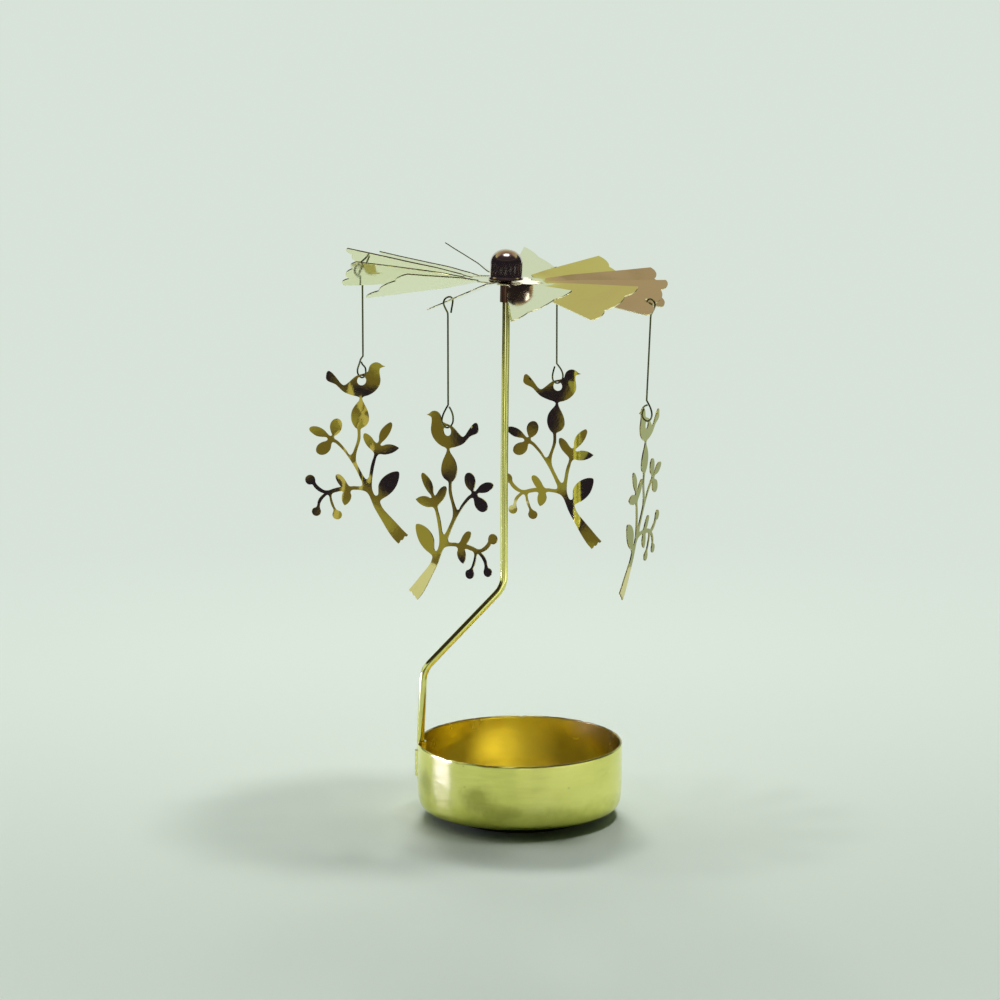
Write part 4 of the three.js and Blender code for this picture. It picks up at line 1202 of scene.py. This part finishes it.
def board(name, x, y, turn, width, z0, z1, material):
    """Upright rectangular board on the table; turn is the way its width runs, in degrees."""
    dx, dy = 0.5 * width * math.cos(rad(turn)), 0.5 * width * math.sin(rad(turn))
    return stand(name, [(x - dx, y - dy, z0), (x + dx, y + dy, z0), (x + dx, y + dy, z1), (x - dx, y - dy, z1)], [[0, 1, 2, 3]], material)


# the hanging ornaments mirror these: unlit brown and gold to the front, pale paper at the back right
GLOOM, OCHRE, GOLD = (0.020, 0.016, 0.045), (0.17, 0.15, 0.05), (0.32, 0.32, 0.10)
board("board_front_right", 0.079, -0.200, 28, 0.080, 0.002, 0.105, mottled("board_front_right_paint", GLOOM, OCHRE, GOLD, 34.0))
board("board_left", -0.259, -0.114, 106, 0.080, 0.002, 0.105, mottled("board_left_paint", GLOOM, OCHRE, GOLD, 34.0))
board("board_front_left", -0.110, -0.178, -29, 0.080, 0.002, 0.105, mottled("board_front_left_paint", GLOOM, OCHRE, GOLD, 34.0))
board("board_back_right", 0.228, 0.215, 140, 0.110, 0.002, 0.115, mottled("board_back_right_paint", (0.36, 0.45, 0.38), (0.40, 0.50, 0.42), (0.46, 0.56, 0.48), 20.0))

# world: only the faint greenish fill in the shadows
world = bpy.data.worlds.new("studio")
scene.world = world
world.use_nodes = True
bg = world.node_tree.nodes["Background"]
bg.inputs["Color"].default_value = (0.72, 1.0, 0.62, 1)
bg.inputs["Strength"].default_value = 0.035
world.cycles_visibility.camera = False
world.cycles_visibility.glossy = False


def area(name, loc, aim, sx, sy, power, colour=(1, 1, 1), seen=True):
    li = bpy.data.lights.new(name, "AREA")
    li.shape = "RECTANGLE"
    li.size, li.size_y = sx, sy
    li.energy = power
    li.color = colour
    ob = bpy.data.objects.new(name, li)
    scene.collection.objects.link(ob)
    ob.location = loc
    ob.rotation_euler = (Vector(aim) - Vector(loc)).to_track_quat("-Z", "Y").to_euler()
    ob.visible_camera = False
    ob.visible_glossy = seen
    return ob


area("overhead_softbox", (0.02, 0.18, 1.10), (0.0, 0.0, 0.0), 0.60, 0.40, 1.5, (1.0, 0.995, 0.99), False)
area("right_softbox", (0.24, 0.05, 1.10), (0.0, 0.0, 0.0), 0.14, 0.14, 3.0, (1.0, 0.995, 0.99), False)
area("left_softbox", (-0.31, 0.06, 1.10), (0.0, 0.0, 0.0), 0.07, 0.07, 0.7, (1.0, 0.995, 0.99), False)
area("back_softbox", (-0.10, 1.0, 0.80), (0.0, 0.0, 0.0), 0.46, 0.20, 7.3, (1.0, 0.995, 0.99), False)
spot = bpy.data.lights.new("well_spot", "SPOT")
spot.energy = 20.0
spot.spot_size = rad(4.2)
spot.spot_blend = 1.0
spot.shadow_soft_size = 0.004
spot.color = (1.0, 1.0, 0.8)
spot_ob = bpy.data.objects.new("well_spot", spot)
scene.collection.objects.link(spot_ob)
spot_ob.location = (-0.113, 0.206, 0.436)
spot_ob.rotation_euler = (Vector((0.013, -0.009, 0.003)) - Vector(spot_ob.location)).to_track_quat("-Z", "Y").to_euler()
spot_ob.visible_camera = False
spot_ob.visible_glossy = False
area("side_lamp", (-0.72, 0.09, 0.22), (0.0, 0.0, 0.05), 0.20, 0.28, 0.5, (1.0, 1.0, 1.0), False)


def soft_card(name, centre, right, up, glow, edge=0.45):
    """Soft-edged glowing rectangle, seen only in mirrors. right and up are its half sides."""
    c, a, b = Vector(centre), Vector(right), Vector(up)
    verts = [tuple(c - a - b), tuple(c + a - b), tuple(c + a + b), tuple(c - a + b)]
    m = bpy.data.materials.new(name + "_paint")
    m.use_nodes = True
    nt = m.node_tree
    N, L = nt.nodes, nt.links
    N.clear()
    out = N.new("ShaderNodeOutputMaterial")
    em = N.new("ShaderNodeEmission")
    em.inputs["Color"].default_value = (*glow, 1)
    tc = N.new("ShaderNodeTexCoord")
    sp = N.new("ShaderNodeSeparateXYZ")
    L.new(tc.outputs["UV"], sp.inputs[0])
    fade = []
    for axis in ("X", "Y"):
        ab = N.new("ShaderNodeMath")
        ab.operation = "ABSOLUTE"
        L.new(sp.outputs[axis], ab.inputs[0])
        mr = N.new("ShaderNodeMapRange")
        mr.interpolation_type = "SMOOTHSTEP"
        mr.inputs["From Min"].default_value = 1.0 - edge
        mr.inputs["From Max"].default_value = 1.0
        mr.inputs["To Min"].default_value = 1.0
        mr.inputs["To Max"].default_value = 0.0
        L.new(ab.outputs[0], mr.inputs["Value"])
        fade.append(mr)
    mul = N.new("ShaderNodeMath")
    mul.operation = "MULTIPLY"
    L.new(fade[0].outputs["Result"], mul.inputs[0])
    L.new(fade[1].outputs["Result"], mul.inputs[1])
    L.new(mul.outputs[0], em.inputs["Strength"])
    clear = N.new("ShaderNodeBsdfTransparent")
    mix = N.new("ShaderNodeMixShader")
    L.new(mul.outputs[0], mix.inputs[0])
    L.new(clear.outputs[0], mix.inputs[1])
    L.new(em.outputs[0], mix.inputs[2])
    L.new(mix.outputs[0], out.inputs[0])
    ob = stand(name, verts, [[0, 1, 2, 3]], m)
    layer = ob.data.uv_layers.new(name="UVMap")
    for loop in ob.data.loops:
        layer.data[loop.index].uv = ((-1, -1), (1, -1), (1, 1), (-1, 1))[loop.vertex_index]
    return ob


# softboxes as the mirrors see them
soft_card("overhead_card", (0.01, -0.10, 1.10), (0.38, 0, 0), (0, 0.30, 0), (6.0, 5.9, 6.0), 0.8)
soft_card("left_card", (-0.205, 0.0075, 0.028), (0.006, 0.056, 0), (0, 0, 0.028), (18.0, 15.5, 62.0), 0.35)
soft_card("front_strip", (-0.034, -0.14, 0.106), (0.030, 0.0, 0), (0, 0, 0.040), (1.5, 1.5, 1.3), 0.5)
# pale board that keeps the left card out of the post and the blades
stand("left_board", [(-0.205, -0.07, 0.060), (-0.060, -0.07, 0.060), (-0.060, 0.08, 0.060), (-0.205, 0.08, 0.060)], [[0, 1, 2, 3]],
      emitter("left_board_paint", [(0.0, (0.72, 0.80, 0.70)), (1.0, (0.72, 0.80, 0.70))]))
ring_card("right_dark", 0.42, 6, 80, 0.0, 0.12,
          emitter("right_dark_paint", [(0.0, (0.10, 0.06, 0.035)), (1.0, (0.06, 0.04, 0.03))], reach=0.12))


def floor_sector(name, r0, r1, a0, a1, glow, n=24):
    """Bright patch of floor in front, as cut edges above it mirror it."""
    verts, faces = [], []
    for i in range(n + 1):
        a = rad(a0 + (a1 - a0) * i / n)
        verts += [(r0 * math.cos(a), r0 * math.sin(a), 0.0012), (r1 * math.cos(a), r1 * math.sin(a), 0.0012)]
    for i in range(n):
        faces.append([2 * i, 2 * i + 1, 2 * i + 3, 2 * i + 2])
    return stand(name, verts, faces, emitter(name + "_paint", [(0.0, glow), (1.0, glow)]))


floor_sector("floor_glow", 0.165, 0.33, -94, -6, (1.5, 1.5, 1.4))

# ------------------------------------------------------------------- camera

cam = bpy.data.cameras.new("camera")
cam.sensor_fit = "HORIZONTAL"
cam.sensor_width = 36.0
cam.lens = 130.68
cam.clip_start, cam.clip_end = 0.01, 50
camera = bpy.data.objects.new("camera", cam)
scene.collection.objects.link(camera)
camera.location = (-0.005763, -1.03053, 0.291608)
camera.rotation_euler = (rad(79.146), 0, 0)
scene.camera = camera
scene.view_settings.view_transform = "Standard"
